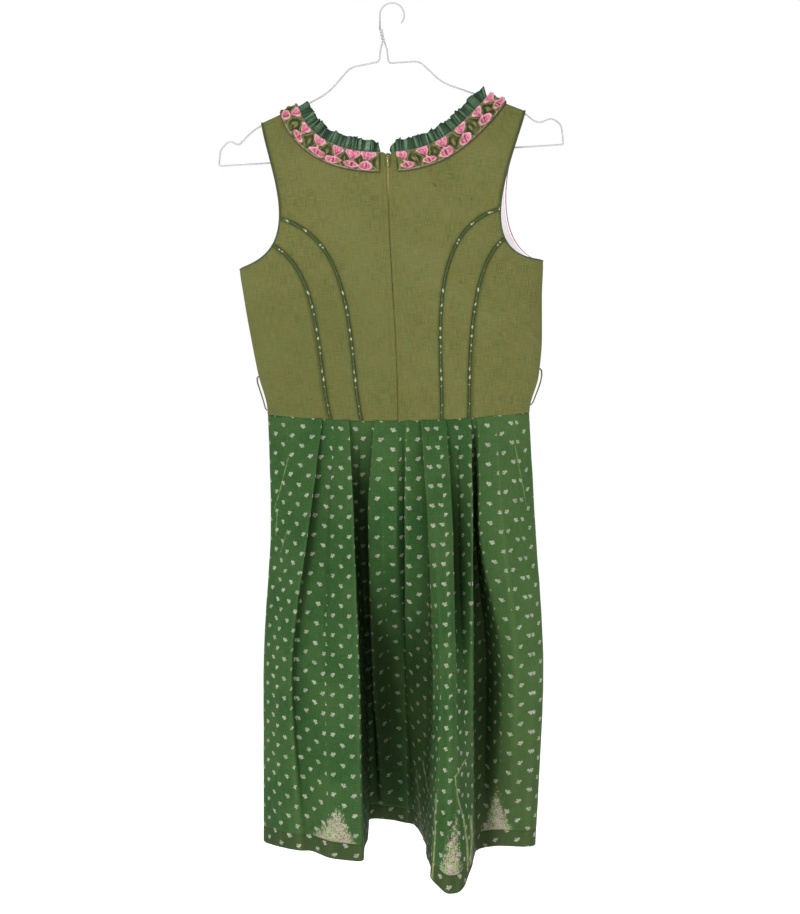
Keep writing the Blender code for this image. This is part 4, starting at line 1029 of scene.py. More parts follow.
def make_stitches():
    """A row of stitches: how far along it, and how far off it, a place lies."""
    r, given, end = effect("Stitches", {"Along": 0.0, "Off": 0.0, "Pitch": 3.0,
                                        "Half width": 0.35}, "Mask", "Furrow")
    beat = r.math("FRACT", r.math("DIVIDE", given["Along"], given["Pitch"]))
    dash = r.band(r.math("ABSOLUTE", r.more(-0.5, beat)), 0.42, 0.30)
    off = r.math("DIVIDE", r.math("ABSOLUTE", given["Off"]), given["Half width"])
    r.feed(end["Mask"], r.times(dash, r.band(off, 1.4, 0.7)))
    r.feed(end["Furrow"], r.band(off, 4.5, 0.5))


SPRIG = (   # parts of one sprig: x, y, half width, half height and turn in degrees
    (-1.3, -0.6, 2.5, 1.7, 38), (0.9, 1.3, 2.2, 1.4, -30), (1.5, -1.3, 1.6, 1.1, 18),
    (3.2, 1.0, 0.8, 0.8, 0),
)


def make_sprig():
    """The printed sprigs, in half-drop rows with every second column mirrored."""
    across, down = sizes().sprig_across / MM, sizes().sprig_down / MM
    r, given, end = effect("Sprig print", {"Cloth": None}, "Mask")
    cloth = given["Cloth"]
    sway = r.join(r.noise(cloth, 0.30), r.noise(cloth, 0.24))
    moved = r.vector("ADD", cloth, r.vector("MULTIPLY", sway, (2.6, 2.2, 0.0)))
    near = []
    for shift, mirror in (((0.0, 0.0), 1.0), ((across / 2, down / 2), -1.0)):
        spot = r.vector("ADD", moved, (*shift, 0.0))
        spot = r.vector("WRAP", spot, (across, down, 1.0), (0, 0, 0))
        spot = r.vector("MULTIPLY_ADD", spot, (mirror, 1.0, 0.0),
                        (-mirror * across / 2, -down / 2, 0.0))
        for x, y, wide, tall, turn in SPRIG:
            part = r.node("Mapping", {"Vector": spot, "Location": (x, y, 0.0),
                                      "Rotation": (0.0, 0.0, math.radians(turn)),
                                      "Scale": (wide, tall, 1.0)}, vector_type="TEXTURE")
            near.append(r.vector("LENGTH", part.outputs[0]))
    nearest = reduce(lambda first, second: r.math("MINIMUM", first, second), near)
    ragged = r.more(-0.50, r.noise(cloth, 1.3, 2.0, 0.7), 1.1)
    r.feed(end["Mask"], r.band(r.more(nearest, ragged), 1.25, 0.62))


LINEN_STAINS = (    # x, z, x, z and half width
    (53.2, -236.6, 55.0, -239.5, 1.5), (99.8, -255.4, 100.6, -256.4, 0.9),
)
SHOULDER_SEAMS = ((152.0, -141.0, 167.6, -145.6, 0.7), (-150.0, -152.4, -166.4, -159.0, 0.7))


def make_linen(name):
    """Olive slubbed linen; the panels beside the zip carry its lines of stitches."""
    r, tone = Finish(name, 0.9, sheen=0.03, specular=0.12), colours()
    weave, worn = r.weave(sizes().thread / MM, 0.9), r.worn(55.0)
    dark, height = shade_of(tone.linen, 0.62), weave["Height"]
    colour = r.mix(r.band(weave["Shade"], 0.22, 0.80), dark, tone.linen_worn)
    mottle = r.noise(r.on_map(CLOTH_MAP), (0.10, 0.045, 1.0), 3.0, 0.65)
    x, _, z = r.split(r.place())
    colour = r.coats(
        colour, (tone.linen, 0.25),
        ((0.188, 0.168, 0.044), r.band(mottle, 0.35, 0.70, 0.0, 0.5)),
        (tone.linen_worn, worn["Fade"], 0.30), (tone.linen_worn, worn["Dust"], 0.25),
        # painted shade: darker towards the lower left of the bodice
        (dark, r.band(x, 80.0, -90.0), r.band(z, -300.0, -420.0), 0.28),
        (tone.stain, r.lines(LINEN_STAINS), 0.55),
        # dark lines of the shoulder seams, and painted shade in the ditch beside each piping
        (shade_of(tone.linen, 0.4), r.most(r.times(r.lines(SHOULDER_SEAMS), 0.45),
                                           r.times(r.kept("ditch"), 0.8))))
    if name == "linen_by_zip":
        off, run, _ = r.split(r.on_map("edge"))
        stitch = r.stitches(run, off, 6.2, 2.6, 0.4)
        # golden stitches, with painted shade in their furrow and along the edge of the zip opening
        colour = r.coats(colour, (tone.coil, stitch["Mask"], 0.5), (dark, stitch["Furrow"], 0.30),
                         (dark, r.band(off, 1.6, 0.2, 0.0, 0.55)))
        height = r.more(height, stitch["Furrow"], -1.6)
    return r.done(colour, (weave["Shade"], 0.2, 0.8, 0.95, 0.80), height, 0.22, 0.8)


# Pale green lines of painted highlight along the side seams and pocket edges, then pale streaks of
# painted light shining through the cloth: x, z, x, z, half width.
SEAM_LINES = (
    (-130.6, -581.1, -144.3, -629.1, 0.7), (-144.3, -629.1, -149.8, -644.3, 0.9),
    (-145.7, -645.6, -148.4, -679.7, 0.8), (-141.0, -700.0, -132.0, -672.0, 0.6),
    (155.2, -564.8, 165.2, -613.7, 0.7), (165.2, -613.7, 170.3, -640.0, 0.8),
)
LIT_THROUGH_STREAKS = (
    (31.7, -985.0, 37.2, -1062.0, 1.2), (37.2, -1062.0, 43.1, -1071.0, 1.4),
    (43.1, -1071.0, 49.0, -1077.0, 1.4), (39.1, -968.0, 45.1, -1000.2, 0.9),
    (51.5, -1002.8, 52.2, -1024.0, 0.8), (52.2, -1024.0, 48.6, -1075.0, 0.9),
    (53.1, -981.0, 53.0, -1001.4, 0.8), (89.1, -944.2, 75.2, -957.7, 1.0),
    (75.2, -957.7, 78.4, -982.2, 0.8), (78.4, -982.2, 86.1, -1011.6, 1.0),
    (86.1, -1011.6, 90.5, -1040.0, 1.4), (90.5, -1040.0, 91.2, -1066.0, 1.6),
    (96.0, -1014.5, 97.4, -1043.3, 2.0), (97.4, -1043.3, 95.0, -1067.0, 2.2),
)
LIT_THROUGH_CORNERS = (    # painted light shining through the cloth above the hem: three corners (x, z)
    ((-64.1, -1006.0), (-109.0, -1059.5), (-36.6, -1066.0)),
    ((77.5, -988.0), (47.0, -1080.5), (88.0, -1080.5)),
    ((132.3, -993.0), (106.0, -1061.0), (160.0, -1061.5)),
)


def lit_through_mask(r, place):
    """Where painted light shines through the print, in threads, above the hem."""
    x, _, z = r.split(place)
    spot = r.join(x, z, 1.0)
    patches = []
    for corners in LIT_THROUGH_CORNERS:
        middle, depths = np.mean(corners, axis=0), []
        for first, second in zip(corners, corners[1:] + corners[:1]):
            run = np.subtract(second, first)
            square = np.array((-run[1], run[0])) / np.hypot(*run)
            square *= np.sign(np.dot(square, middle - first))
            edge = (float(square[0]), float(square[1]), float(-np.dot(square, first)))
            depths.append(r.vector("DOT_PRODUCT", spot, edge))
        patches.append(reduce(lambda a, b: r.math("MINIMUM", a, b), depths))
    ragged = r.noise(place, (0.28, 0.0, 0.12), 3.0, 0.75)
    return r.band(r.more(r.more(10.5, reduce(r.most, patches)), ragged, -24.0), -2.0, 9.0)


def make_print(name):
    """Green cotton with pale sprigs, a stitched hem, worn places, and painted light and shade."""
    r, tone = Finish(name, 0.92, specular=0.10), colours()
    cloth, place = r.on_map(CLOTH_MAP), r.place()
    x, y, z = r.split(place)
    run, off, _ = r.split(r.on_map("edge"))
    weave = r.weave(sizes().thread / MM, 0.5)
    dark = shade_of(tone.print_ground, 0.60)
    ground = r.mix(r.band(weave["Shade"], 0.2, 0.8), dark, shade_of(tone.print_ground, 1.45))
    faded = r.more(r.band(x, 80.0, 150.0, 0.0, 0.10), r.worn(70.0)["Fade"], 0.07)
    # darker and browner towards the lower right of the skirt
    lower_right = r.times(r.band(x, 40.0, 140.0), r.band(z, -820.0, -1000.0))
    double = r.band(off, HEM_DEPTH + 0.4, HEM_DEPTH - 0.4)
    sprig = r.group("Sprig print", {"Cloth": cloth})["Mask"]
    rubbed = r.band(r.noise(cloth, 0.06, 3.0, 0.7), 0.35, 0.65, 0.62, 0.98)
    pinkish = r.mix(r.band(weave["Shade"], 0.35, 0.65), (0.42, 0.38, 0.31), tone.print_motif)
    # breaks up the painted highlight along the seams
    highlight_breaks = r.band(r.noise(place, (0.3, 0.0, 0.09), 3.0, 0.7), 0.38, 0.60, 0.15, 1.0)
    lines = r.times(r.lines(SEAM_LINES), highlight_breaks)
    broken = r.band(r.noise(place, (0.9, 0.9, 0.05), 3.0, 0.7), 0.38, 0.56)
    back = r.band(y, 40.0, 0.0)
    # painted light shining through the cloth above the hem, on the back
    thin = r.times(r.times(lit_through_mask(r, place), back),
                   r.band(off, HEM_DEPTH - 0.2, HEM_DEPTH + 0.6))
    threads = r.more(r.noise(cloth, (0.22, 0.85, 1.0), 2.0, 0.7),
                     r.noise(cloth, (0.85, 0.22, 1.0), 2.0, 0.7))
    threads = r.band(r.more(threads, thin, 0.25), 1.12, 1.26)
    specks = r.times(threads, r.times(r.band(thin, 0.0, 0.3), 0.9))
    patch = r.times(r.band(thin, 0.0, 0.8),
                    r.band(off, HEM_DEPTH + 2.4, HEM_DEPTH + 1.2, 0.20, 0.60))
    pale = r.mix(r.band(r.noise(cloth, 0.09), 0.42, 0.55), (0.56, 0.43, 0.38), (0.46, 0.50, 0.28))
    hem = r.stitches(run, off, HEM_DEPTH, 4.0, 0.45)
    colour = r.coats(
        ground, (tone.print_worn_and_lit, faded),
        ((0.056, 0.057, 0.027), r.most(r.times(lower_right, 0.24), r.times(double, 0.50))),
        # the sprigs, then a painted highlight on the fold crests
        (pinkish, sprig, rubbed), (tone.print_worn_and_lit, r.kept("crest"), 0.07),
        # painted highlight along the side seams and pocket edges
        (tone.print_worn_and_lit, lines, 0.62),
        # painted light shining through the cloth, in streaks, then in patches and specks
        ((0.42, 0.46, 0.20), r.lines(LIT_THROUGH_STREAKS), broken, back, 0.8),
        (pale, r.most(patch, specks)),
        # painted shade in the recesses and inside the folds
        ((0.013, 0.018, 0.006), r.most(r.times(r.kept("deep"), 0.52), r.kept("valley"))),
        # the hem's stitches, with painted shade in their furrow
        (tone.print_worn_and_lit, hem["Mask"], 0.22), (dark, hem["Furrow"], 0.35))
    height = r.more(r.more(weave["Height"], hem["Furrow"], -1.4), lines, 2.0)
    return r.done(colour, (weave["Shade"], 0.2, 0.8, 0.88, 0.72), height, 0.18, 0.8)


def make_piping(name):
    """The print cut on the bias; the armholes' binding is plain, and pale inside."""
    r, tone = Finish(name, 0.8, specular=0.15), colours()
    weave = r.weave(0.7, 0.5)
    base = getattr(tone, name)
    colour = r.mix(r.band(weave["Shade"], 0.2, 0.8), shade_of(base, 0.6), shade_of(base, 1.6))
    if name == "binding":
        inner, pale = r.kept("inner"), r.mix(r.kept("rim"), tone.lining, tone.lining_edge)
        colour = r.mix(inner, colour, pale)
        # painted light: the pale inner half glows as if lit through
        r.glow(r.mix(inner, (0.0, 0.0, 0.0), pale), 0.5)
    else:
        crown = r.kept("crown")
        sprig = r.band(r.noise(r.on_map(CLOTH_MAP), (0.12, 0.15, 1.0), 1.0), 0.57, 0.65)
        # painted highlight along the top of the cord, where the sprigs show
        colour = r.coats(colour, ((0.095, 0.130, 0.048), crown, 0.6),
                         (tone.print_motif, sprig, r.band(crown, 0.55, 0.95, 0.0, 0.8)))
    return r.done(colour, (weave["Shade"], 0.2, 0.8, 0.8, 0.6), weave["Height"], 0.15, 0.7)


def make_ruffle_cloth(name):
    """Green cotton of the ruffle, with painted highlights on its crests and painted shade in its
    gathers.
    """
    r, tone = Finish(name, 0.66, sheen=0.05, specular=0.3), colours()
    weave, crest, cloth = r.weave(0.6, 0.5), r.kept("crest"), r.on_map(CLOTH_MAP)
    # painted shade in the gathers
    colour = r.mix(r.band(crest, 0.12, 0.62), shade_of(tone.ruffle, 0.32), tone.ruffle)
    glint_flecks = r.band(r.noise(cloth, (0.42, 0.22, 1.0), 3.0, 0.7), 0.42, 0.58)
    lit_puffs = r.band(r.noise(cloth, (0.20, 0.13, 1.0), 2.0, 0.6), 0.50, 0.64)
    # painted highlights: paler crests, glints in flecks and in puffs near the top, and glinting
    # threads
    colour = r.coats(colour, (shade_of(tone.ruffle, 2.0), r.band(crest, 0.55, 0.90)),
                     (tone.ruffle_glint, r.band(crest, 0.52, 0.88), glint_flecks, 0.75),
                     (tone.ruffle_glint, lit_puffs, r.band(crest, 0.30, 0.70, 0.0, 0.5)),
                     (tone.ruffle_glint, r.band(weave["Shade"], 0.45, 0.8, 0.0, 0.18)))
    return r.done(colour, (weave["Shade"], 0.2, 0.8, 0.72, 0.52), weave["Height"], 0.12, 0.7)


def make_ribbon(name):
    """Two-sided ribbon: olive face, pink back in the pleats and pale woven edges, with painted
    light and shade in its folds.
    """
    r, tone = Finish(name, 0.6, sheen=0.05, specular=0.3), colours()
    weave = r.weave(0.55, 0.6)
    shade, light = r.band(weave["Shade"], 0.2, 0.8), shade_of(tone.ribbon_olive, 1.5)
    # painted shade in the hollows of the olive face
    olive = r.mix(r.kept("hollow"), light, shade_of(tone.ribbon_olive, 0.16))
    olive = r.coats(olive, (light, shade, 0.15),
                    # painted light on the raised facets that face the light
                    (shade_of(tone.ribbon_olive, 2.1), r.kept("facet")),
                    # painted shade on one side of each lower mouth
                    ((0.30, 0.115, 0.085), r.kept("blush")))
    # painted shade deepens the pink in the folds and inside the mouths, and a painted shadow fills
    # each slit
    pink = r.coats(tone.ribbon_pink, (tone.ribbon_rim, shade, 0.5),
                   (tone.ribbon_fold_shade, r.kept("crease")), ((0.055, 0.008, 0.014), r.kept("slit")))
    colour = r.coats(olive, (pink, r.kept("pink")), (tone.ribbon_rim, r.kept("rim")),
                     # painted shadow: a dark line along the ribbon's edges
                     (tone.ribbon_rim, r.kept("selvedge")), ((0.13, 0.045, 0.045), r.kept("line")))
    return r.done(colour, (weave["Shade"], 0.2, 0.8, 0.70, 0.48), weave["Height"], 0.1, 0.6)


def make_lining(name):
    """Pale thin lining, lit through, with a mauve line of stitches along its edge."""
    r, tone = Finish(name, 0.85, specular=0.1), colours()
    weave = r.weave(0.6, 0.4)
    off, run, _ = r.split(r.on_map("edge"))
    stitch = r.stitches(run, off, 1.4, 2.4, 0.22)
    colour = r.mix(r.band(weave["Shade"], 0.2, 0.8), shade_of(tone.lining, 0.88), tone.lining)
    colour = r.coats(colour, (tone.lining_edge, stitch["Mask"], 0.25),
                     (tone.lining_edge, stitch["Furrow"], 0.12), (tone.binding, r.kept("turned")))
    # painted light: the lining glows as if lit through from behind
    r.glow(colour, 0.65)
    height = r.more(weave["Height"], stitch["Furrow"], -1.0)
    return r.done(colour, (weave["Shade"], 0.2, 0.8, 0.88, 0.74), height, 0.12, 0.7)


def make_thread(name):
    """Dark crochet thread with some paler worn strands; the pale cream on its inner side is painted
    light.
    """
    r = Finish(name, 0.75, sheen=0.2, specular=0.25)
    strands = r.noise(r.on_map(CLOTH_MAP), (1.4, 0.35, 1.0), 3.0, 0.7)
    colour = r.mix(r.band(strands, 0.3, 0.75), (0.075, 0.058, 0.028), (0.16, 0.125, 0.062))
    # painted light on the inner side of the loop
    colour = r.mix(r.kept("inside"), colour, (0.86, 0.80, 0.66))
    return r.done(colour, 0.75, strands, 0.15)


def make_metal(name):
    """Aged zip metal: paler rubbed places and dull brown film in the rest."""
    r, tone = Finish(name, 0.38, metal=0.85, specular=0.5), colours()
    film = r.noise(r.place(), 0.9, 3.0, 0.6)
    colour = r.coats(tone.metal, ((0.16, 0.13, 0.06), r.band(film, 0.35, 0.65)),
                     (tone.metal, 0.35))
    return r.done(colour, (film, 0.3, 0.7, 0.30, 0.62), r.noise(r.place(), 2.2), 0.05, 0.6)


def make_coil(name):
    """Golden nylon teeth on their tape, a little dull with age."""
    r, tone = Finish(name, 0.45, specular=0.5), colours()
    dull = r.noise(r.place(), (0.5, 0.5, 0.2), 3.0, 0.6)
    colour = r.coats(tone.coil, (shade_of(tone.coil, 0.42), r.band(dull, 0.3, 0.7)),
                     (shade_of(tone.coil, 1.5), r.kept("tooth")))
    return r.done(colour, (dull, 0.3, 0.7, 0.36, 0.6), r.noise(r.place(), 1.8), 0.06, 0.5)


def make_wire(name):
    """White coated wire, yellowed and rubbed in places."""
    r, tone = Finish(name, 0.36, coat=0.15, specular=0.5), colours()
    rub = r.noise(r.place(), (0.12, 0.12, 0.12), 4.0, 0.6)
    specks = r.band(r.noise(r.place(), 0.8), 0.72, 0.80)
    colour = r.coats(tone.wire, ((0.50, 0.44, 0.42), r.band(rub, 0.40, 0.72, 0.0, 0.4)),
                     ((0.30, 0.24, 0.20), specks, 0.6))
    return r.done(colour, (rub, 0.3, 0.7, 0.30, 0.55), r.noise(r.place(), 1.1), 0.05, 0.5)


RECIPES = {
    "linen": make_linen, "linen_by_zip": make_linen, "print": make_print, "piping": make_piping,
    "binding": make_piping, "ruffle": make_ruffle_cloth, "ribbon": make_ribbon,
    "lining": make_lining, "thread": make_thread, "metal": make_metal, "coil": make_coil,
    "wire": make_wire,
}


@cache
def finish(name):
    """The named finish, made once; the first of them makes the effects that they share."""
    if "Weave" not in bpy.data.node_groups:
        for make_effect in (make_weave, make_fade, make_near_line, make_stitches, make_sprig):
            make_effect()
    return RECIPES[name](name)


# ------------------------------ bodice
def shares_to(count, power=1.0):
    """Even shares from 0 to 1, crowded towards 1 by a power."""
    return [1 - (1 - i / count) ** power for i in range(count + 1)]


LOW_ROWS = shares_to(40)
TALL_ROWS = [CORNER * row for row in shares_to(36)] + [
    lerp(CORNER, 1.0, row) for row in shares_to(40, 1.7)[1:]]


@cache
def zip_line():
    """The centre-back line: its places across and its heights."""
    return np.array([bezier(centre_curve("back"), i / 200) for i in range(201)]).T


def dress_panel(name, face, grid, material="linen", puckers=(1.0, 1.0), open_edge=None):
    """A bodice panel with its soft creases, from its middle surface."""
    grid = with_edges(grid)
    normals = grid_normals(grid, face)
    if open_edge:
        side, count = open_edge
        for row in range(count):
            x, _, z = grid[row, side]
            normals[row, side] = outward(face, x, z)
    xs, ys, zs = np.moveaxis(grid, -1, 0)
    lift = crease_heights(BACK_CREASES if face < 0 else FRONT_CREASES, xs, zs)
    run = row_lengths(grid, 1)
    beat = np.sin(zs * 0.72 + 2.2 * np.sin(zs * 0.11))
    # the ditch beside the piped seams of the back, kept for painted shade
    ditch = np.zeros_like(lift)
    for strength, off in zip(puckers, (run, run[:, -1:] - run)):
        lift += 0.16 * strength * beat * np.exp(-off / 5.0)
        if strength == 1.0 and face < 0:
            ditch = np.maximum(ditch, bell(off, 2.4))
    lift += 0.32 * rough_field(grid, 42.0, 1) + 0.10 * rough_field(grid, 13.0, 2)
    spots = np.linspace(-200.0, 200.0, 81)
    fall = np.interp(xs, spots, [shoulder_height(x) for x in spots]) - zs
    lift *= np.clip((fall - 2.0) / 30.0, 0.0, 1.0) * ease(0.0, 9.0, np.abs(ys))
    grid = grid + normals * lift[..., None]
    half = np.full(lift.shape, sizes().cloth / MM / 2)
    maps = {CLOTH_MAP: girth_places(grid, face)}
    if material == "linen_by_zip":
        across, heights = zip_line()
        off = np.abs(grid[..., 0] - np.interp(grid[..., 2], heights, across))
        maps["edge"] = np.stack((off, -grid[..., 2]), -1)
    return shell(name, grid, normals, half, -half, finish(material), maps, {"ditch": ditch},
                 open_edge)


def add_sheet(piece):
    """Read the places of a made sheet's cloth map; nothing more is done with them."""
    flat = np.empty(len(piece.data.loops) * 2, np.float32)
    piece.data.uv_layers[CLOTH_MAP].data.foreach_get("uv", flat)


def seated_panel(piece, slot="linen"):
    """Seat a panel in the place of its solid and read its cloth map."""
    place(piece, slot)
    add_sheet(piece)


def make_bodice():
    """Three panels on each side of the back, and a front of three."""
    halves, joined_rows = [], sum(row <= CORNER for row in TALL_ROWS) + 1
    for face, side in ((-1, "left"), (-1, "right"), (1, "left"), (1, "right")):
        is_back, order = face < 0, (1 if side == "left" else -1)
        part = "back" if is_back else "front"
        armhole, centre = armhole_curve(part + "_" + side), centre_curve(part)
        neck = edge_curve(NECKS[part + "_" + side])
        seams = [name + side for name in (("back_inner_", "back_outer_") if is_back
                                          else ("front_", "front_"))]
        inner, outer = (seam_curve(name) for name in seams)
        inner_end, outer_end = (SEAMS[name][3] for name in seams)
        seam_inset = SEAM_INSET if is_back else SIDE_INSET
        seam_top = CORNER + (0.01 if is_back else 0.0)      # the back's corner row is inset too

        def cut(name, runs, waist, top, columns, rows, insets, puckers, **more):
            """One panel, its pairs given from the side seam to the centre."""
            columns = columns if order < 0 else [1 - share for share in columns[::-1]]
            edges = [*runs[::order], waist_line(*waist[::order]), top]
            grid = panel_grid(face, edges, columns, rows, lambda v: insets(v)[::order],
                              EDGE_INSET if rows is LOW_ROWS else 0.0)
            return dress_panel(name, face, grid, puckers=puckers[::order], **more)

        runs = (chain(along(inner), along(armhole, inner_end, 0.0), CORNER),
                chain(along(centre), along(neck, 1.0, 0.0), CORNER))
        middle = cut(
            ("back_centre_" + side) if is_back else "front_centre" if order > 0 else "front_half",
            runs, (inner[0][0], centre[0][0]),
            shoulder_line(*(armhole[0][0], neck[0][0])[::order]), shares_to(28), TALL_ROWS,
            lambda v: (seam_inset if v < seam_top else EDGE_INSET,
                       centre_inset(v) if is_back else 0.0),
            (1.0, 0.2) if is_back else (0.6, 0.0), material="linen_by_zip" if is_back else "linen",
            open_edge=None if is_back else (-1 if order > 0 else 0, joined_rows))
        if is_back:
            seated_panel(middle)
            seated_panel(cut("back_mid_" + side, (along(outer), along(inner)),
                             (outer[0][0], inner[0][0]),
                             along(armhole, *(outer_end, inner_end)[::order]), shares_to(14),
                             LOW_ROWS, lambda v: (SEAM_INSET, SEAM_INSET), (1.0, 1.0)))
        else:
            halves.append(middle)
        waist_x = FLAT_WAIST_LEFT if order > 0 else FLAT_WAIST_RIGHT
        seated_panel(cut(part + "_side_" + side, (side_line(order > 0, armhole[3]), along(outer)),
                         (waist_x, outer[0][0]), along(armhole, *(1.0, outer_end)[::order]),
                         shares_to(30, 1.5), LOW_ROWS, lambda v: (SIDE_INSET, seam_inset),
                         (0.3, 1.0 if is_back else 0.8)))
    join_objects(halves)
    form = bmesh.new()
    form.from_mesh(halves[0].data)
    bmesh.ops.remove_doubles(form, verts=form.verts, dist=0.00002)
    form.to_mesh(halves[0].data)
    form.free()
    seated_panel(halves[0])


# ------------------------------ piping and edges
def make_pipings():
    """A cord under bias strip in each curved seam of the back."""
    for name in ("back_inner_left", "back_outer_left", "back_inner_right", "back_outer_right"):
        spots = [bezier(seam_curve(name), i / 90) for i in range(91)]
        seam = np.array([on_form(-1, x, z) for x, z in spots])
        path = seam + PIPING_RISE * np.array([outward(-1, x, z) for x, z in spots])
        lengths = row_lengths(path[None], 1)[0]
        path = resampled(path, lengths, np.linspace(2 * GAP, lengths[-1] - 1.9, len(path)))
        swell = 1 + 0.05 * rough_field(path, 7.0, len(name))
        parts = tube_parts(path, 1.06 * PIPING_RADIUS * swell, 16)
        cord = add_parts("piping_" + name, [parts], finish("piping"))
        off = np.linalg.norm(seam[:, None] - parts[0], axis=-1).min(0)
        # the top of the cord, kept for a painted highlight
        keep_share(cord, "crown", ease(1.5, 2.05, off))
        place(cord, "piping")


def make_armhole_bindings():
    """The bound edge round each armhole, over the hanger and under the arm."""
    for side in ("left", "right"):
        ring = []
        for face, part in ((-1, "back_"), (1, "front_")):
            curve = armhole_curve(part + side)
            half = [on_form(face, *bezier(curve, (i / 90) ** 1.5)) for i in range(91)]
            for point in half[:3]:
                point.y = face * max(abs(point.y), BINDING_FLAT)
                point.z += BINDING_FLAT_RISE
            half[-1].y = 0.0
            ring += half if face < 0 else half[-2::-1]
        ring = np.array(ring)
        swell = 1 + 0.05 * rough_field(ring, 6.0, 4)
        parts = tube_parts(ring, 1.08 * BINDING_RADIUS * swell, 14, closed=True)
        cord = add_parts("armhole_binding_" + side, [parts], finish("binding"))
        middle = np.repeat(ring, 14, axis=0)
        off = parts[0] - middle
        inner = ease(0.4, -0.2, off[:, 1]) * ease(2.0, 6.0, middle[:, 1])
        keep_share(cord, "inner", inner * (side == "right"))
        keep_share(cord, "rim", ease(-0.55, -0.05, off[:, 0]))
        place(cord, "piping")


def make_armhole_facings():
    """The pale lining that shows inside the front edge of each armhole."""
    inside = WALL / 2 + 3 * GAP + 0.4
    for side, inward in (("left", 1), ("right", -1)):
        curve = armhole_curve("front_" + side)
        grid = []
        for share in np.linspace(*FACING_SPANS[side], 60):
            here, ahead = Vector(bezier(curve, share)), Vector(bezier(curve, share + 0.01))
            run = (ahead - here).normalized()
            across = Vector((-run.y, run.x)) * inward
            spots = [here + across * float(width) for width in np.linspace(0.5, FACING_WIDTH, 12)]
            grid.append([on_form(1, x, z) - outward(1, x, z) * inside for x, z in spots])
        grid = with_edges(np.array(grid))
        normals = grid_normals(grid, 1)
        grid = grid + normals * (0.25 * rough_field(grid, 14.0, 5))[..., None]
        flat = np.stack((row_lengths(grid, 1), row_lengths(grid, 0)), -1)
        half = np.full(grid.shape[:2], FACING_THICKNESS / 2)
        turned = ease(6.3, 5.7, flat[..., 0]) * (side == "left")
        facing = shell("armhole_facing_" + side, grid, normals, half, -half, finish("lining"),
                       {CLOTH_MAP: flat, "edge": flat}, {"turned": turned})
        seated_panel(facing, "lining")


# ------------------------------ neck trim and ruffle
def neck_stations():
    """The neckline from zip to zip: face, edge point, direction into the cloth, share."""
    stations = []
    for face, part, side in ((-1, "back_left", -1), (1, "front_left", -1),
                             (1, "front_right", 1), (-1, "back_right", 1)):
        row, curve = [], edge_curve(NECKS[part])
        for t in np.linspace(0.0, 1.0, 61) ** 1.3:
            here = Vector(bezier(curve, t))
            step = 0.01 if t < 0.5 else -0.01
            run = (Vector(bezier(curve, t + step)) - here) / step
            away = Vector((run.y, -run.x)).normalized() * -side
            slope = shoulder_height(here.x + side) - shoulder_height(here.x)
            near = max(0.0, 1 - t / 0.16)
            away = away.lerp(Vector((side, slope)).normalized(), near).normalized()
            row.append((face, here, away, t))
        row = row if face != side else row[::-1]
        stations.extend(row if not stations else row[1:])
    return stations


def station_point(station, into_cloth):
    """The form's point so far from the neckline at a station."""
    face, here, away, share = station
    point = on_form(face, *(here + away * into_cloth))
    if share == 0.0:
        point.y = 0.0
    return point


def neck_surface(widths):
    """Lines of points along the neckline, one line for each distance into the cloth."""
    return np.array([[station_point(station, width) for width in widths]
                     for station in neck_stations()])


def resampled(lines, lengths, places):
    """The rows of an array of points, taken at other places along their length."""
    flat = lines.reshape(len(lines), -1)
    columns = [np.interp(places, lengths, column) for column in flat.T]
    return np.stack(columns, -1).reshape(len(places), *lines.shape[1:])


TRIM_CENTRES = (    # x and z where pinched pleats sit at the back, left of the zip, then right
    (-29.7, -208.6), (-49.0, -208.0), (-72.0, -203.0), (-94.0, -191.0), (-113.0, -173.0),
    (-129.5, -146.0), (16.5, -211.0), (42.7, -203.0), (66.4, -191.7), (92.8, -178.0),
    (112.0, -152.0), (129.0, -127.0),
)


def pleat_places(rows, lengths, pitch):
    """The middle of each pinched pleat along the neckline."""
    x, y, z = rows[:, len(rows[0]) // 2].T
    found = sorted(float(lengths[np.argmin((x - at_x) ** 2 + (z - at_z) ** 2
                                           + np.where(y < 0.5, 0.0, 1e6))])
                   for at_x, at_z in TRIM_CENTRES)
    gap = max(range(len(found) - 1), key=lambda i: found[i + 1] - found[i])
    low, high = found[gap], found[gap + 1]
    count = round((high - low) / pitch)
    return found[:gap + 1] + [lerp(low, high, i / count) for i in range(1, count)] + found[gap + 1:]


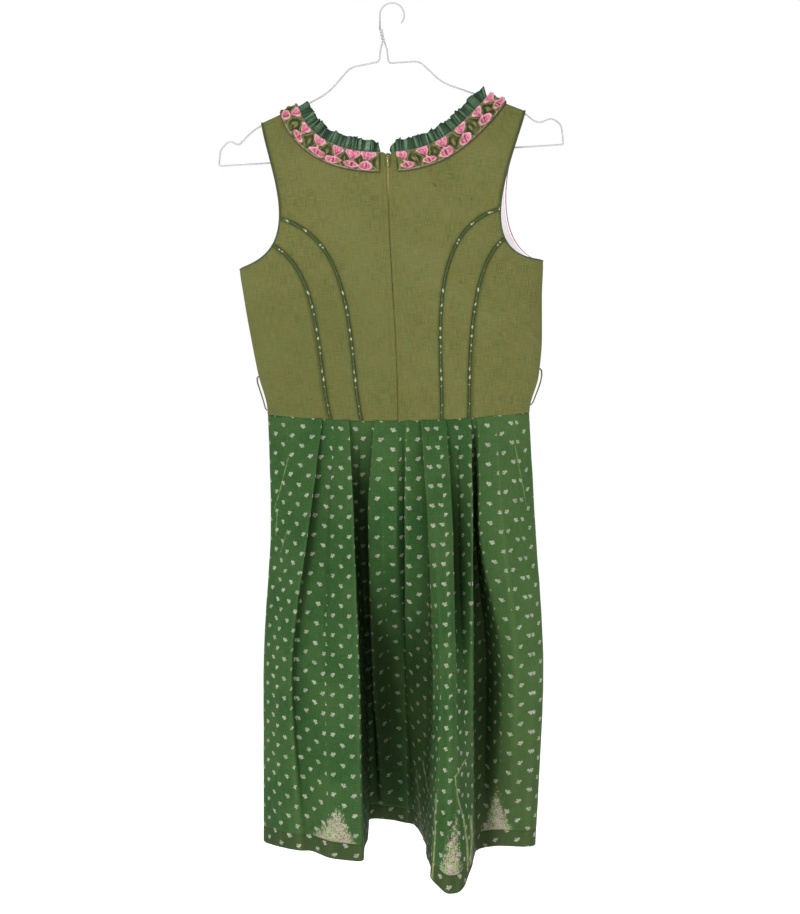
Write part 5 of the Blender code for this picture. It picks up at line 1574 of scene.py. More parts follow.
def pleat_forms(a, b, half, chance):
    """Height and colours of one pinched pleat at places along (a) and across (b) the ribbon."""
    skew, wide, lean = chance.uniform(-4.4, 4.4), chance.uniform(0.86, 1.16), chance.uniform(-1, 1)
    open_in, open_out = chance.uniform(0.80, 1.12), chance.uniform(0.62, 1.08)
    slip, shrink = chance.uniform(-1.6, 1.6), chance.uniform(0.85, 1.05)
    a = a - skew * (b - 13.0) / 13.0
    c = a - slip
    wave = 0.7 * np.sin(a * 0.9 + 3 * lean) + 0.5 * np.sin(b * 1.3 + 5 * lean)
    drop = ease(3.0, 13.4, b)
    heart = 7.4 * wide * open_in * (1 - drop) ** 0.7 * (0.62 + 0.38 * ease(-0.5, 3.6, b))
    top = 0.7 + 1.5 * bell(a, 1.6)
    inner = np.abs(a + 0.35 * wave) / (heart + 0.3)
    inner = np.where(b > top, inner, 1.15 + (top - b) * 0.5)
    inner = np.where(b < 13.9, inner, 3.0)
    eye = np.sqrt((np.abs(c + 0.3 * wave) / (8.6 * wide * shrink)) ** 1.7
                  + (np.abs(b - 19.0 + 0.10 * lean * c) / (5.6 * open_out)) ** 2.0)
    rise = np.zeros_like(inner)
    for near, high in ((inner, 3.4), (eye, 3.1)):
        for form in (high * bell(near - 0.90, 0.17), 1.3 * ease(1.7, 1.0, near) * (near > 0.9),
                     0.9 * ease(0.1, 0.8, near)):
            rise = np.maximum(rise, form)
    pinch = np.exp(-(a / 1.5) ** 2 - ((b - 13.6) / 1.7) ** 2)
    leaf = 2.3 * bell(np.abs(a) - half, 2.0) * bell(b - 13.2, 4.6)
    ray = bell(np.abs(a) - half * (0.30 + 0.70 * np.abs(b - 13.4) / 12.0), 0.9)
    rise = np.maximum(rise, leaf) + 1.1 * ray * ease(1.02, 1.35, np.minimum(inner, eye))
    valley = bell(a - 0.25 * lean * (b - 6.0), 0.75) * ease(0.95, 0.6, inner)
    folds = bell(np.abs(a + 0.5 * wave) - 3.3 * (1 - drop), 0.55)
    folds = folds * ease(0.9, 0.6, inner) * ease(1.0, 3.0, b)
    slit = bell(c - 0.2 * lean * (b - 19), 0.75) * ease(0.92, 0.6, eye)
    tucks = bell(np.abs(c - 0.4 * wave) - 3.4, 0.6) * ease(0.85, 0.5, eye)
    spiral = (np.arctan2(b - 6.0, a) * (2 if lean > 0 else 1)
              + np.hypot(a, b - 6.0) * 1.05 * math.copysign(1, lean))
    petals = bell(np.sin(spiral / 2 + 3 * slip), 0.24) * ease(0.98, 0.75, inner)
    creases = np.clip(0.5 * valley + 0.4 * folds + 0.8 * tucks + 0.68 * petals, 0, 1)
    rise = rise * (1 - 0.55 * creases) * (1 - 0.75 * slit) + 2.4 * pinch
    # painted shade on one side inside each lower mouth
    blush = ease(3.6, 7.0, np.abs(c)) * ease(1.3, 0.95, eye) * (0.5 + 0.5 * np.sign(lean * c))
    return np.clip(rise, 0, None), {
        "pink": np.clip(ease(1.05, 0.97, inner) + ease(1.03, 0.95, eye) * (1 - 0.75 * blush), 0, 1),
        # painted shade in the folds and inside the mouths
        "crease": np.clip(creases + 0.38 * ease(0.7, 0.1, inner) + 0.6 * ease(0.75, 0.1, eye),
                          0, 1),
        # painted shadow in the slit
        "slit": slit * 0.95,
        "rim": np.clip(bell(inner - 0.96, 0.11) + 0.9 * bell(eye - 0.97, 0.06) + 0.9 * pinch,
                       0, 1) * 0.85,
        "blush": 0.8 * blush,
    }


def spread(heights, reach):
    """An array evened out over so many places on all sides."""
    count = 2 * reach + 1
    for axis in (0, 1):
        margin = [(reach, reach) if k == axis else (0, 0) for k in (0, 1)]
        total = np.cumsum(np.pad(heights, margin, mode="edge"), axis)
        total = np.insert(total, 0, 0.0, axis)
        ends = np.arange(count, total.shape[axis])
        heights = (np.take(total, ends, axis) - np.take(total, ends - count, axis)) / count
    return heights


def make_neck_trim():
    """The folded ribbon round the neckline, pinched into two rows of mouths."""
    widths = np.linspace(TRIM_EDGE, TRIM_WIDTH, 38)
    rows = neck_surface(widths)
    lengths = row_lengths(neck_surface([0.0]), 0)[:, 0]
    start, end = TRIM_START, lengths[-1] - TRIM_START
    centres = pleat_places(rows, lengths, sizes().trim_pleat / MM)
    places = np.linspace(start, end, int((end - start) / POINT_STEP))
    grid = resampled(rows, lengths, places)
    normals = grid_normals(grid, -1)
    if normals[40, 12, 1] > 0:
        normals = -normals
    chance = random.Random(5)
    swirl, sway = rough_field(grid, 5.5, 21), rough_field(grid, 6.0, 22)
    bounds = [start] + [(a + b) / 2 for a, b in zip(centres, centres[1:])] + [end]
    rise = np.zeros(grid.shape[:2])
    kept = {name: np.zeros(rise.shape) for name in ("pink", "crease", "slit", "rim", "blush")}
    for centre, low, high in zip(centres, bounds, bounds[1:]):
        inside = (places >= low) & (places <= high)
        half = max(6.0, min((high - low) / 2, 13.0))
        a = (places[inside] - centre)[:, None] + 1.5 * swirl[inside]
        rise[inside], colour = pleat_forms(a, widths + 1.2 * sway[inside], half, chance)
        for name, values in colour.items():
            kept[name][inside] = values
    upper, lower = widths - TRIM_EDGE, TRIM_WIDTH - widths
    border = np.minimum(ease(0.0, 1.2, upper), ease(0.0, 1.2, lower))
    end_fade = np.minimum(ease(0.0, 3.0, places - start), ease(0.0, 3.0, end - places))
    rise *= border * end_fade[:, None] * sizes().trim_mouth / TRIM_MOUTH / MM
    stray = 0.25 * rough_field(grid, 5.0, 8) + 0.55 * rough_field(grid, 2.6, 9) * kept["pink"]
    ridges = [lengths[np.argmin(np.abs(rows[:, 0, 1]) + 1e6 * (side * rows[:, 0, 0] > 0))]
              for side in (1, -1)]
    at_shoulder = bell(np.min(np.abs(places - np.array(ridges)[:, None]), axis=0), 5)
    lift = (WALL / 2 + 4 * GAP + GAP * at_shoulder)[:, None] + 0 * rise
    plain = 1 - kept["pink"]
    worn = ease(-0.5, 0.2, rough_field(grid, 6.0, 41)) * plain
    kept["selvedge"] = worn * (0.8 * bell(upper - 0.3, 0.6) + 0.35 * bell(lower - 1.7, 0.6))
    # painted shadow: a dark line along both edges of the ribbon
    kept["line"] = plain * (0.8 * bell(upper - 1.6, 0.6) + 0.85 * bell(lower - 0.3, 0.75))
    kept["rim"] *= border * (0.35 + 0.65 * ease(-0.2, 0.4, rough_field(grid, 7.0, 24)))
    top = rise + stray
    # how each slope faces the light, for the painted light and shade below
    steep_along, steep_across = np.gradient(top, places[1] - places[0], widths[1] - widths[0])
    light = steep_along * np.sign(grid[..., 0]) * -0.5 + steep_across * 0.8
    # painted shade where the ribbon lies lower than its neighbours and faces away from the light
    kept["hollow"] = np.clip(0.45 + (spread(top, 6) - top) / 1.1 - 0.35 * light, 0, 1)
    # painted light on raised facets
    kept["facet"] = 0.7 * np.clip(0.9 * light + (top - spread(top, 9)) / 3.0, 0, 1)
    # more painted shade in the folds
    kept["crease"] = np.clip(kept["crease"] + (spread(top, 3) - top) / 2.3, 0, 1)
    flat = np.stack(np.broadcast_arrays(places[:, None], widths), -1)
    ribbon = shell("neck_trim", grid, normals, lift + TRIM_FLAT * 0.8 + top, lift,
                   finish("ribbon"), {CLOTH_MAP: flat}, kept)
    place(ribbon, "ribbon")


def make_neck_ruffle():
    """The gathered ruffle that stands up from the neckline, open at the zip."""
    rows = neck_surface([0.0, 3.0])
    lengths = row_lengths(rows[:, :1], 0)[:, 0]
    start, end = RUFFLE_START + 4.5, lengths[-1] - RUFFLE_START
    places = np.linspace(start, end, int((end - start) / 0.75))
    base, below = np.moveaxis(resampled(rows, lengths, places), 1, 0)
    run = units(np.gradient(base, axis=0))
    shoulders = [lengths[i] for i, station in enumerate(neck_stations()) if station[3] == 0.0]
    near, lean = 0, 0
    for spot, over in zip(shoulders, ((0.95, 0.0, 0.45), (-0.30, 0.0, 0.95))):
        close = ease(30.0, 4.0, np.abs(places - spot))
        near, lean = near + close, lean + np.array(over) * close[:, None]
    rise = units(units(base - below) * (1 - near)[:, None] + lean)
    side = units(np.cross(run, rise))
    stray = rough_field(base, 7.0, 31)
    beat = (2 * math.pi * places / GATHER + 2.6 * np.sin(places / 9.0) + 4.2 * stray
            + 1.6 * np.sin(places / 4.3 + 1.0))
    wave = np.sin(beat) + 0.45 * np.sin(2.3 * beat + 0.7)
    fullness = 0.75 + 0.35 * np.sin(places / 17.0 + 0.6) + 0.4 * rough_field(base, 9.0, 32)
    ends = np.minimum(places - start, end - places)
    tall = sizes().ruffle / MM * (1 - 0.12 * near) * (
        1 + 0.07 * np.sin(places / 5.0 + 2 * stray) + 0.20 * rough_field(base, 5.0, 33))
    tall = tall * (0.10 + 0.90 * np.sqrt(1 - (1 - np.clip(ends / 15.0, 0, 1)) ** 2))
    share = np.linspace(0.0, 1.0, 14)[:, None]
    sway = RUFFLE_WAVE * (1 - 0.5 * near) * fullness * 0.75 * wave * (0.05 + 0.95 * share ** 0.7)
    curl = 1.3 * share ** 3 * np.cos(beat * 0.5)
    up = lerp(-1.6, tall, share) - 0.06 * sway ** 2 * share
    slide = 1.9 * share * np.cos(beat * 0.7) + 0.8 * stray * share
    grid = (base + rise * up[..., None] + side * (sway + curl)[..., None]
            + run * slide[..., None])
    # which side of each gather faces the light, paler towards the top edge, for painted highlights
    # and shade
    crest = 0.34 * wave * (0.45 + 0.55 * share) + 0.10 * share + 0.22 * share ** 6
    crest = np.clip(0.5 - crest * np.sign(side[40, 1]), 0, 1)
    normals = grid_normals(grid, 1)
    normals *= -1.0 if np.mean(np.sum(normals * side, -1)) < 0 else 1.0
    half = np.full(crest.shape, RUFFLE_THICKNESS / 2)
    ruffle = shell("neck_ruffle", grid, normals, half, -half, finish("ruffle"), None,
                   {"crest": crest})
    seated_panel(ruffle, "ruffle")


# ------------------------------ zip
def zip_place(z):
    """The centre-back line's point at a height, and its outward direction."""
    across, heights = zip_line()
    x = float(np.interp(z, heights, across))
    return on_form(-1, x, z), outward(-1, x, z)


def plate_parts(outline, centre, thickness, bevel=0.22):
    """Points, faces and cloth places of a bevelled plate with this (x, z) outline."""
    outer = np.array(outline)
    middle, count = outer.mean(0), len(outer)
    reach = np.linalg.norm(outer - middle, axis=1, keepdims=True)
    inner = middle + (outer - middle) * (1 - bevel / np.maximum(bevel * 1.5, reach))
    layers = [np.insert(edge, 1, y, axis=1) for edge, y in (
        (inner, -thickness / 2), (outer, bevel - thickness / 2),
        (outer, thickness / 2 - bevel), (inner, thickness / 2))]
    index = np.arange(4 * count).reshape(4, count)
    faces = corner_quads(np.pad(index, ((0, 0), (0, 1)), mode="wrap")).tolist()
    faces += [index[0, ::-1].tolist(), index[3].tolist()]
    return np.concatenate(layers) + np.array(centre), faces, [(0.0, 0.0)] * (14 * count)


def round_outline(wide, tall, corner, steps=5):
    """The (x, z) outline of a plate with round corners."""
    spots = []
    for turn, (x, z) in enumerate(((1, 1), (-1, 1), (-1, -1), (1, -1))):
        for i in range(steps + 1):
            angle = math.pi / 2 * (turn + i / steps)
            spots.append((x * (wide / 2 - corner) + corner * math.cos(angle),
                          z * (tall / 2 - corner) + corner * math.sin(angle)))
    return spots


def make_zip():
    """The coil and tape under the centre-back edges, the top stop and the slider."""
    inside = WALL / 2 + 2 * GAP + ZIP_THICKNESS / 2
    foot = waist_height(CENTRES["back"][0]) + 1.0
    grid = []
    for z in np.linspace(ZIP_TOP, foot, 120):
        point, out = zip_place(z)
        grid.append([point - out * (inside + 0.2) + Vector((side * ZIP_WIDTH / 2, 0, 0))
                     for side in np.linspace(-1, 1, 7)])
    grid = np.array(grid)
    half = np.full(grid.shape[:2], TAPE_THICKNESS / 2)
    tape = shell("zip_coil", grid, grid_normals(grid, -1), half, -half, finish("coil"), None,
                 {"tooth": 0 * half})
    teeth = []
    for number, z in enumerate(np.arange(ZIP_TOP - 1.5, foot + 1.0, -TOOTH_PITCH)):
        point, out = zip_place(z)
        hand = 1 if number % 2 else -1
        teeth.append(tube_parts([point - out * (inside - lift) + Vector((hand * across, 0, 0))
                                 for across, lift in TOOTH], TOOTH_RADIUS, 6))
    row = add_parts("zip_teeth", teeth, finish("coil"))
    keep_share(row, "tooth", np.ones(len(row.data.vertices)))
    join_objects([tape, row])
    place(tape, "coil")

    stop, _ = zip_place(STOP_Z)
    width, tall, thick = STOP_SIZE
    bar = tube_parts([stop + Vector((side * width * 0.32, WALL / 2 + GAP - thick / 2 + bulge, 0))
                      for side, bulge in ((-1, 0.15), (-0.5, -0.1), (0, -0.2), (0.5, -0.1),
                                          (1, 0.15))], tall / 2 * 0.9, 12)
    place(add_parts("zip_stop", [bar], finish("metal")), "metal")

    middle, _ = zip_place(SLIDER_Z)
    width, tall, thick = SLIDER_SIZE
    plate_y = middle.y - WALL / 2 - 3 * GAP - thick / 2
    keel_depth = WALL + 3 * GAP
    lug_wide, lug_tall, lug_deep = LUG_SIZE
    axis_z = middle.z + tall / 2 - lug_tall / 2 - 0.4
    shield = [(x * (1.0 - 0.28 * ease(0.0, -tall / 2, z)), z)
              for x, z in round_outline(width, tall, 1.3)]
    parts = [plate_parts(shield, (middle.x, plate_y, middle.z), thick, 0.28),
             plate_parts(round_outline(3.0, tall - 1.0, 0.8),
                         (middle.x, plate_y + thick / 2 + keel_depth / 2, middle.z),
                         keel_depth, 0.2)]
    for x in (middle.x - LUG_HALF_SPAN, middle.x + LUG_HALF_SPAN):
        parts.append(tube_parts([(x, plate_y - thick / 2 + 0.2 - lug_deep * math.sin(turn) * 0.86,
                                  axis_z + lug_tall / 2 * 0.8 * math.cos(turn))
                                 for turn in np.linspace(0.0, math.pi, 9)], lug_wide / 2, 8))
    place(add_parts("zip_slider", parts, finish("metal")), "metal")
    return Vector((middle.x, plate_y - thick / 2 - TAB_AXIS_OUT, axis_z))


def make_pull_tab(axis):
    """The tab that hangs from the slider: a barrel, a neck and a plate with a slot."""
    neck_end = LUG_SIZE[1] / 2 + 0.6
    half_neck, half_tab = TAB_NECK_WIDTH / 2, TAB_WIDTH / 2
    right = [(half_neck, 0.4), (half_neck, -neck_end), (half_neck * 1.3, -neck_end - 0.5),
             (half_tab * 0.92, -neck_end - 1.2), (half_tab, -neck_end - 2.0),
             (half_tab * 0.93, -TAB_LENGTH + 2.4), (half_tab * 0.84, -TAB_LENGTH + 1.1),
             (half_tab * 0.58, -TAB_LENGTH + 0.3), (half_tab * 0.2, -TAB_LENGTH)]
    barrel = [axis + Vector((across * (half_neck - 0.05), 0, 0))
              for across in (-1, -0.5, 0, 0.5, 1)]
    rim = [axis + Vector((half_tab * 0.52 * math.cos(turn), -TAB_THICKNESS / 2,
                          -9.3 + 1.9 * math.sin(turn)))
           for turn in np.linspace(0, 2 * math.pi, 17)[:-1]]
    parts = [plate_parts(right + [(-x, z) for x, z in reversed(right)], axis, TAB_THICKNESS, 0.2),
             tube_parts(barrel, TAB_BARREL_RADIUS, 12, round_ends=False),
             tube_parts(rim, 0.22, 6, closed=True)]
    place(add_parts("zip_pull", parts, finish("metal")), "metal", body=BODY_OF_TAB)


# ------------------------------ belt loops
def make_thread_loops():
    """A crocheted loop at each side seam, three strands twisted together."""
    for side, hand in (("left", -1), ("right", 1)):
        middle = []
        for share in np.linspace(0.0, 1.0, 90).tolist():
            z = lerp(*THREAD_LOOP_SPANS[side], share)
            out = smooth(*zip(*THREAD_LOOP), share) * hand
            middle.append((sides(z)[hand > 0] + out, 0.0, z))
        middle = np.array(middle)
        forth = np.array((0.0, 1.0, 0.0))
        across = units(np.cross(units(np.gradient(middle, axis=0)), forth))
        strands = []
        for phase in range(3):
            turn = (np.linspace(0, 15 * math.pi, 90) + phase * 2 * math.pi / 3)[:, None]
            strand = middle + 0.36 * (across * np.cos(turn) + forth * np.sin(turn))
            strands.append(tube_parts(strand, np.linspace(0.80, 0.52, 90), 7))
        loop = add_parts("thread_loop_" + side, strands, finish("thread"))
        points = np.concatenate([parts[0] for parts in strands])
        nearest = np.argmin(np.abs(points[:, 2:] - middle[:, 2]), axis=1)
        inward = (points[:, 0] - middle[nearest, 0]) * -hand
        # the inner side of the loop, kept for painted light
        keep_share(loop, "inside", ease(0.52, 0.78, inward))
        place(loop, "thread")


# ------------------------------ skirt
def fold_point(row, face, share):
    """Where a fold runs at this share of the skirt's length."""
    waist_x, step, hip_x, hip_y, knee_x, knee_y, hem_x, hem_y, hem_z = row
    top = waist_height(waist_x) + WAIST_LAP
    waist = on_form(face, waist_x, top)
    xs = (waist.x, hip_x, knee_x, hem_x)
    ys = (waist.y - face * step, hip_y, knee_y, hem_y)
    return np.array((smooth(SKIRT_LEVELS, xs, share), smooth(SKIRT_LEVELS, ys, share),
                     lerp(top, hem_z, share)))


def skirt_row(corners, share, counts, billows):
    """One ring of a skirt panel, from the seam before it to the seam after it."""
    radius = smooth(SKIRT_LEVELS, FOLD_RADII, share)
    arms = [[corner + (other - corner) * min(radius / np.linalg.norm(other - corner), 0.42)
             for other in (previous, following)]
            for previous, corner, following in zip(corners, corners[1:], corners[2:])]
    ends = [(first + second) / 2 - units(second - first) * GAP / 2
            for first, second in ((corners[0], corners[1]), (corners[-1], corners[-2]))]
    row, crest = [], []
    for k, count in enumerate(counts):
        start = ends[0] if k == 0 else arms[k - 1][1]
        stop = ends[1] if k == len(arms) else arms[k][0]
        run = stop - start
        square = np.array((run[1], -run[0], 0.0)) * billows[k] * share
        for i in range(1 if k else 0, count + 1 if k == len(arms) else count):
            row.append(start + run * i / count + square * math.sin(math.pi * i / count))
            crest.append(0.0)
        if k == len(arms):
            break
        corner = corners[k + 1]
        into, away = units(corner - arms[k][0]), units(arms[k][1] - corner)
        turn = float(np.clip(into[0] * away[1] - into[1] * away[0], -1, 1))
        for t in (i / FILLET_STEPS for i in range(FILLET_STEPS + 1)):
            row.append(arms[k][0] * (1 - t) ** 2 + corner * 2 * t * (1 - t) + arms[k][1] * t * t)
            crest.append(turn * math.sin(math.pi * t) ** 2)
    return row, crest


def depth_behind(grid, face, slope=2.2):
    """How far each point of a panel lies behind its neighbours on both sides."""
    return np.array([(stand - slope * np.abs(x[:, None] - x)).max(1) - stand
                     for x, stand in zip(grid[..., 0], face * grid[..., 1])])


SKIRT_ROWS = [down / 550.0 for down in (    # closest at the waist and at the hem's stitches
    0.0, 2.0, 5.0, 9.0, 14.0, 20.0, 27.0, 35.0, *np.arange(43.0, 505.0, 8.5))] + [
    1 - up / 550.0 for up in (40.0, 32.0, 26.0, 23.5, 22.2, 21.4, 20.6, 19.6, 17.0, 12.0, 7.0,
                              3.0, 1.2, 0.0)]


def skirt_panel(name, folds, before, after, face, seed):
    """One panel of the skirt with its folds, ripples, hem and print."""
    chance = random.Random(seed)
    folds = [before, *folds, after]
    hem = [fold_point(row, side, 1.0) for side, row in folds]
    counts = [max(3, round(float(np.linalg.norm(b - a)) / HEM_SPACING))
              for a, b in zip(hem, hem[1:])]
    billows = [chance.uniform(-0.05, 0.05) for _ in counts]
    billows[0] = billows[-1] = 0.0
    rows = [skirt_row([fold_point(row, side, share) for side, row in folds], share, counts,
                      billows) for share in SKIRT_ROWS]
    grid, crest = (np.array(part) for part in zip(*rows))
    face_of, middles, column = [0], [], 1
    for k, count in enumerate(counts):
        middles.append(column + count // 2)
        face_of += [k] * count
        if k < len(counts) - 1:
            face_of += [k] * (FILLET_STEPS // 2) + [k + 1] * (FILLET_STEPS // 2)
        column += count + FILLET_STEPS
    face_of.append(face_of[-1])
    stacked = with_edges(np.concatenate((grid, crest[..., None]), -1))
    grid, crest = stacked[..., :3], stacked[..., 3]
    normals = grid_normals(grid, face)
    down = row_lengths(grid, 0)
    length = down[-1:]
    off_hem = length - down
    ripple = 0.75 * rough_field(grid, 34.0, seed) + 0.22 * rough_field(grid, 12.0, seed + 3)
    if face < 0:
        looks_back = ease(0.15, 0.7, -normals[..., 1])
        ripple += crease_heights(SKIRT_CREASES, grid[..., 0], grid[..., 2]) * looks_back
    across = row_lengths(grid, 1)
    gathers = 0.35 * np.sin(across * 0.62 + 1.5 * np.sin(across * 0.17)) * np.exp(-down / 16.0)
    ripple = (ripple + gathers) * ease(0.0, 10.0, down)
    ripple *= ease(0.0, 8.0, np.minimum(across, across[:, -1:] - across))
    ripple -= 0.35 * bell(off_hem - HEM_DEPTH, 0.9)
    grid = grid + normals * ripple[..., None]
    half = sizes().cloth / MM / 2
    inner = -half - 1.0 * ease(HEM_DEPTH + 0.8, HEM_DEPTH - 0.6, off_hem) * ease(0, 1.0, down)
    arc = row_lengths(grid, 1)
    quads = corner_quads(np.stack((arc, down), -1)).reshape(len(grid) - 1, -1, 4, 2)
    for column, k in enumerate(face_of):
        shift = (arc[-1, middles[k]] - arc[:, middles[k]])[:, None]
        quads[:, column, :2, 0] += shift[:-1]
        quads[:, column, 2:, 0] += shift[1:]
    # the crest holds a painted highlight, and the recesses and insides of the folds hold painted
    # shade
    panel = shell(name, grid, normals, half + 0 * inner, inner, finish("print"),
                  {CLOTH_MAP: quads, "edge": np.stack((arc, off_hem), -1)},
                  {"crest": np.clip(crest, 0, 1), "deep": ease(2.0, 42.0, depth_behind(grid, face)),
                   "valley": (0.8 * np.clip(-crest, 0, 1) * ease(4.0, 40.0, down)
                              * ease(420.0, 160.0, down))})
    place(panel, "print")


def make_skirt():
    """Two back panels and a front one, folded as the cloth hangs."""
    left, right, front = ([(face, row) for row in rows] for face, rows in (
        (-1, BACK_LEFT_FOLDS), (-1, BACK_RIGHT_FOLDS), (1, FRONT_FOLDS)))
    skirt_panel("skirt_back_left", left, front[-1], right[0], -1, 11)
    skirt_panel("skirt_back_right", right, left[-1], front[0], -1, 12)
    skirt_panel("skirt_front", front, right[-1], left[0], 1, 13)


# ------------------------------ hanger
def make_hanger():
    """One wire: the hook, down the twist, round the shoulders and back up the twist."""
    hook_radius = HOOK_INNER_RADIUS + WIRE_RADIUS
    points = [(hook_radius * math.cos(angle), 0.0,
               WIRE_RADIUS - hook_radius + hook_radius * math.sin(angle))
              for angle in np.radians(np.linspace(HOOK_TIP_ANGLE, 180.0, 49))]
    strands = []
    for phase in (math.pi, 0.0):
        strand = []
        for share in np.linspace(0.0, 1.0, TWIST_TURNS * 20 + 1):
            angle = phase + 2 * math.pi * TWIST_TURNS * share
            x, z = Vector(TWIST_TOP).lerp(Vector(TWIST_FOOT), share)
            strand.append((x + TWIST_RADIUS * math.cos(angle), TWIST_RADIUS * math.sin(angle), z))
        strands.append(strand)
    points += strands[0]
    points += [(x, 0.0, z) for x, z in rounded(WIRE_LEFT + WIRE_RIGHT[::-1])]
    points += strands[1][::-1]
    path = [points[0]]
    for point in points[1:]:
        if math.dist(point, path[-1]) > 0.25:
            path.append(point)
    place(add_parts("hanger", [tube_parts(path, WIRE_RADIUS, 14)], finish("wire")), "wire")


# ------------------------------ stage
def add_to_scene(name, data, spot, turn):
    """A light or the camera in its place."""
    made = bpy.data.objects.new(name, data)
    made.location, made.rotation_euler = spot, turn
    bpy.context.scene.collection.objects.link(made)
    return made


def make_stage():
    """A wide pale floor under the dress, soft lights and the camera."""
    scene = bpy.context.scene
    look = scene.dirndl_stage
    r = Finish("paper", 0.9, specular=0.1)
    grain = r.noise(r.node("TexCoord").outputs["Object"], 60.0, 3.0)
    r.feed(r.shader.inputs["Base Color"], r.mix(grain, shade_of(look.paper, 0.97), look.paper))
    r.glow(look.paper, look.glow)
    ends = (-FLOOR_REACH, FLOOR_REACH)
    points = [(x, y, FLOOR_Z) for y in ends for x in ends]
    clean_mesh("paper_floor", points, [(0, 1, 3, 2)], r.made)

    scene.world = bpy.data.worlds.new("studio")
    scene.world.use_nodes = True
    air = Recipe(scene.world.node_tree)
    light = air.tree.nodes["Background"].inputs
    air.feed(light["Color"], (1.0, 1.0, 1.0))
    seen = air.node("LightPath").outputs["Is Camera Ray"]
    air.feed(light["Strength"], air.band(seen, 0.0, 1.0, WORLD_LIGHT, 1.0))
    for name, spot, size, power in (("key", (-1.0, -2.3, 0.5), 0.9, look.key),
                                    ("fill", (1.9, -2.0, -0.2), 1.6, look.fill),
                                    ("top", (0.2, -0.3, 1.6), 1.4, look.fill * 0.8),
                                    ("back", (-0.6, 2.6, 0.3), 1.6, look.key * 0.9)):
        lamp = bpy.data.lights.new(name, "AREA")
        lamp.energy, lamp.size = power, size
        aim = (Vector(LAMP_TARGET) - Vector(spot)).to_track_quat("-Z", "Y")
        add_to_scene(name, lamp, spot, aim.to_euler())

    lens = bpy.data.cameras.new("camera")
    lens.sensor_fit, lens.sensor_height = "VERTICAL", 36.0
    lens.lens = lens.sensor_height * look.distance / look.height_seen
    scene.camera = add_to_scene("camera", lens, (CAMERA_X, -look.distance, CAMERA_Z),
                                (math.pi / 2, 0.0, 0.0))
    scene.view_settings.view_transform = "Standard"


# ------------------------------ operators
class DIRNDL_OT_stage(bpy.types.Operator):
    """Make the pale floor, the soft lights and the camera"""
    bl_idname = "dirndl.stage"
    bl_label = "Stage"

    def execute(self, context):
        make_stage()
        return {"FINISHED"}


class DIRNDL_OT_hanger(bpy.types.Operator):
    """Make the bent wire hanger"""
    bl_idname = "dirndl.hanger"
    bl_label = "Wire hanger"

    def execute(self, context):
        make_hanger()
        return {"FINISHED"}


class DIRNDL_OT_bodice(bpy.types.Operator):
    """Make the nine linen panels of the bodice"""
    bl_idname = "dirndl.bodice"
    bl_label = "Bodice panels"

    def execute(self, context):
        make_bodice()
        return {"FINISHED"}


class DIRNDL_OT_piping(bpy.types.Operator):
    """Make the piping of the back seams and the bound edges of the armholes"""
    bl_idname = "dirndl.piping"
    bl_label = "Piping and bindings"

    def execute(self, context):
        make_pipings()
        make_armhole_bindings()
        return {"FINISHED"}


class DIRNDL_OT_facings(bpy.types.Operator):
    """Make the lining that shows in the armholes"""
    bl_idname = "dirndl.facings"
    bl_label = "Armhole facings"

    def execute(self, context):
        make_armhole_facings()
        return {"FINISHED"}


class DIRNDL_OT_neck_trim(bpy.types.Operator):
    """Make the folded and pinched ribbon round the neck"""
    bl_idname = "dirndl.neck_trim"
    bl_label = "Neck trim"

    def execute(self, context):
        make_neck_trim()
        return {"FINISHED"}


class DIRNDL_OT_neck_ruffle(bpy.types.Operator):
    """Make the gathered ruffle at the neck"""
    bl_idname = "dirndl.neck_ruffle"
    bl_label = "Neck ruffle"

    def execute(self, context):
        make_neck_ruffle()
        return {"FINISHED"}


class DIRNDL_OT_zip(bpy.types.Operator):
    """Make the zip's coil, stop, slider and pull tab"""
    bl_idname = "dirndl.zip"
    bl_label = "Zip"

    def execute(self, context):
        make_pull_tab(make_zip())
        return {"FINISHED"}


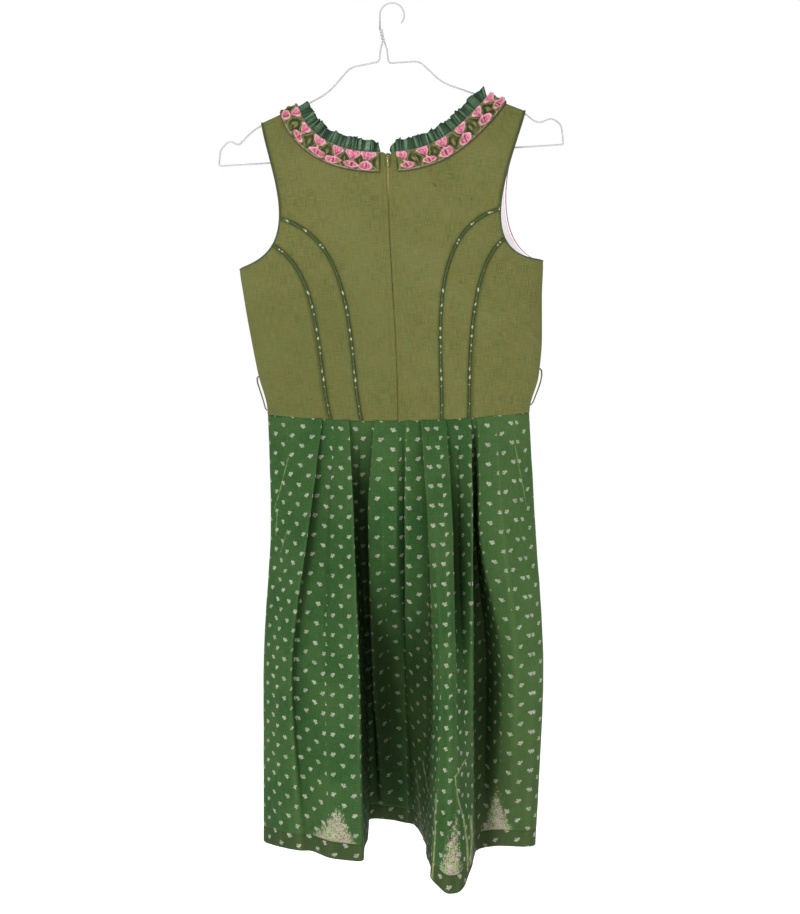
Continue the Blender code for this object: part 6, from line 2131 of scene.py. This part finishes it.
class DIRNDL_OT_thread_loops(bpy.types.Operator):
    """Make the thread loops for a belt"""
    bl_idname = "dirndl.thread_loops"
    bl_label = "Belt loops"

    def execute(self, context):
        make_thread_loops()
        return {"FINISHED"}


class DIRNDL_OT_skirt(bpy.types.Operator):
    """Make the three folded panels of the skirt"""
    bl_idname = "dirndl.skirt"
    bl_label = "Skirt"

    def execute(self, context):
        make_skirt()
        return {"FINISHED"}


STEPS = (DIRNDL_OT_stage, DIRNDL_OT_hanger, DIRNDL_OT_bodice, DIRNDL_OT_piping,
         DIRNDL_OT_facings, DIRNDL_OT_neck_trim, DIRNDL_OT_neck_ruffle, DIRNDL_OT_zip,
         DIRNDL_OT_thread_loops, DIRNDL_OT_skirt)
SETTINGS = (("dirndl_colours", DIRNDL_PG_colours), ("dirndl_sizes", DIRNDL_PG_sizes),
            ("dirndl_stage", DIRNDL_PG_stage))


class DIRNDL_PT_steps(bpy.types.Panel):
    """The steps that make the dress, and its settings"""
    bl_idname = "DIRNDL_PT_steps"
    bl_label = "Dirndl dress"
    bl_space_type = "VIEW_3D"
    bl_region_type = "UI"
    bl_category = "Dirndl"

    def draw(self, context):
        for step in STEPS:
            self.layout.operator(step.bl_idname)
        for name, settings in SETTINGS:
            box = self.layout.box()
            for key in settings.__annotations__:
                box.prop(getattr(context.scene, name), key)


def register():
    """Register the settings, the steps and the panel."""
    for _, settings in SETTINGS:
        bpy.utils.register_class(settings)
    for step in STEPS:
        bpy.utils.register_class(step)
    bpy.utils.register_class(DIRNDL_PT_steps)
    for name, settings in SETTINGS:
        setattr(bpy.types.Scene, name, bpy.props.PointerProperty(type=settings))


def unregister():
    """Take back what register added."""
    for name, _ in SETTINGS:
        delattr(bpy.types.Scene, name)
    bpy.utils.unregister_class(DIRNDL_PT_steps)
    for step in reversed(STEPS):
        bpy.utils.unregister_class(step)
    for _, settings in reversed(SETTINGS):
        bpy.utils.unregister_class(settings)


def main():
    """Build the dress on its stage."""
    register()
    for step in STEPS:
        section, name = step.bl_idname.split(".")
        getattr(getattr(bpy.ops, section), name)()


if __name__ == "__main__":
    main()
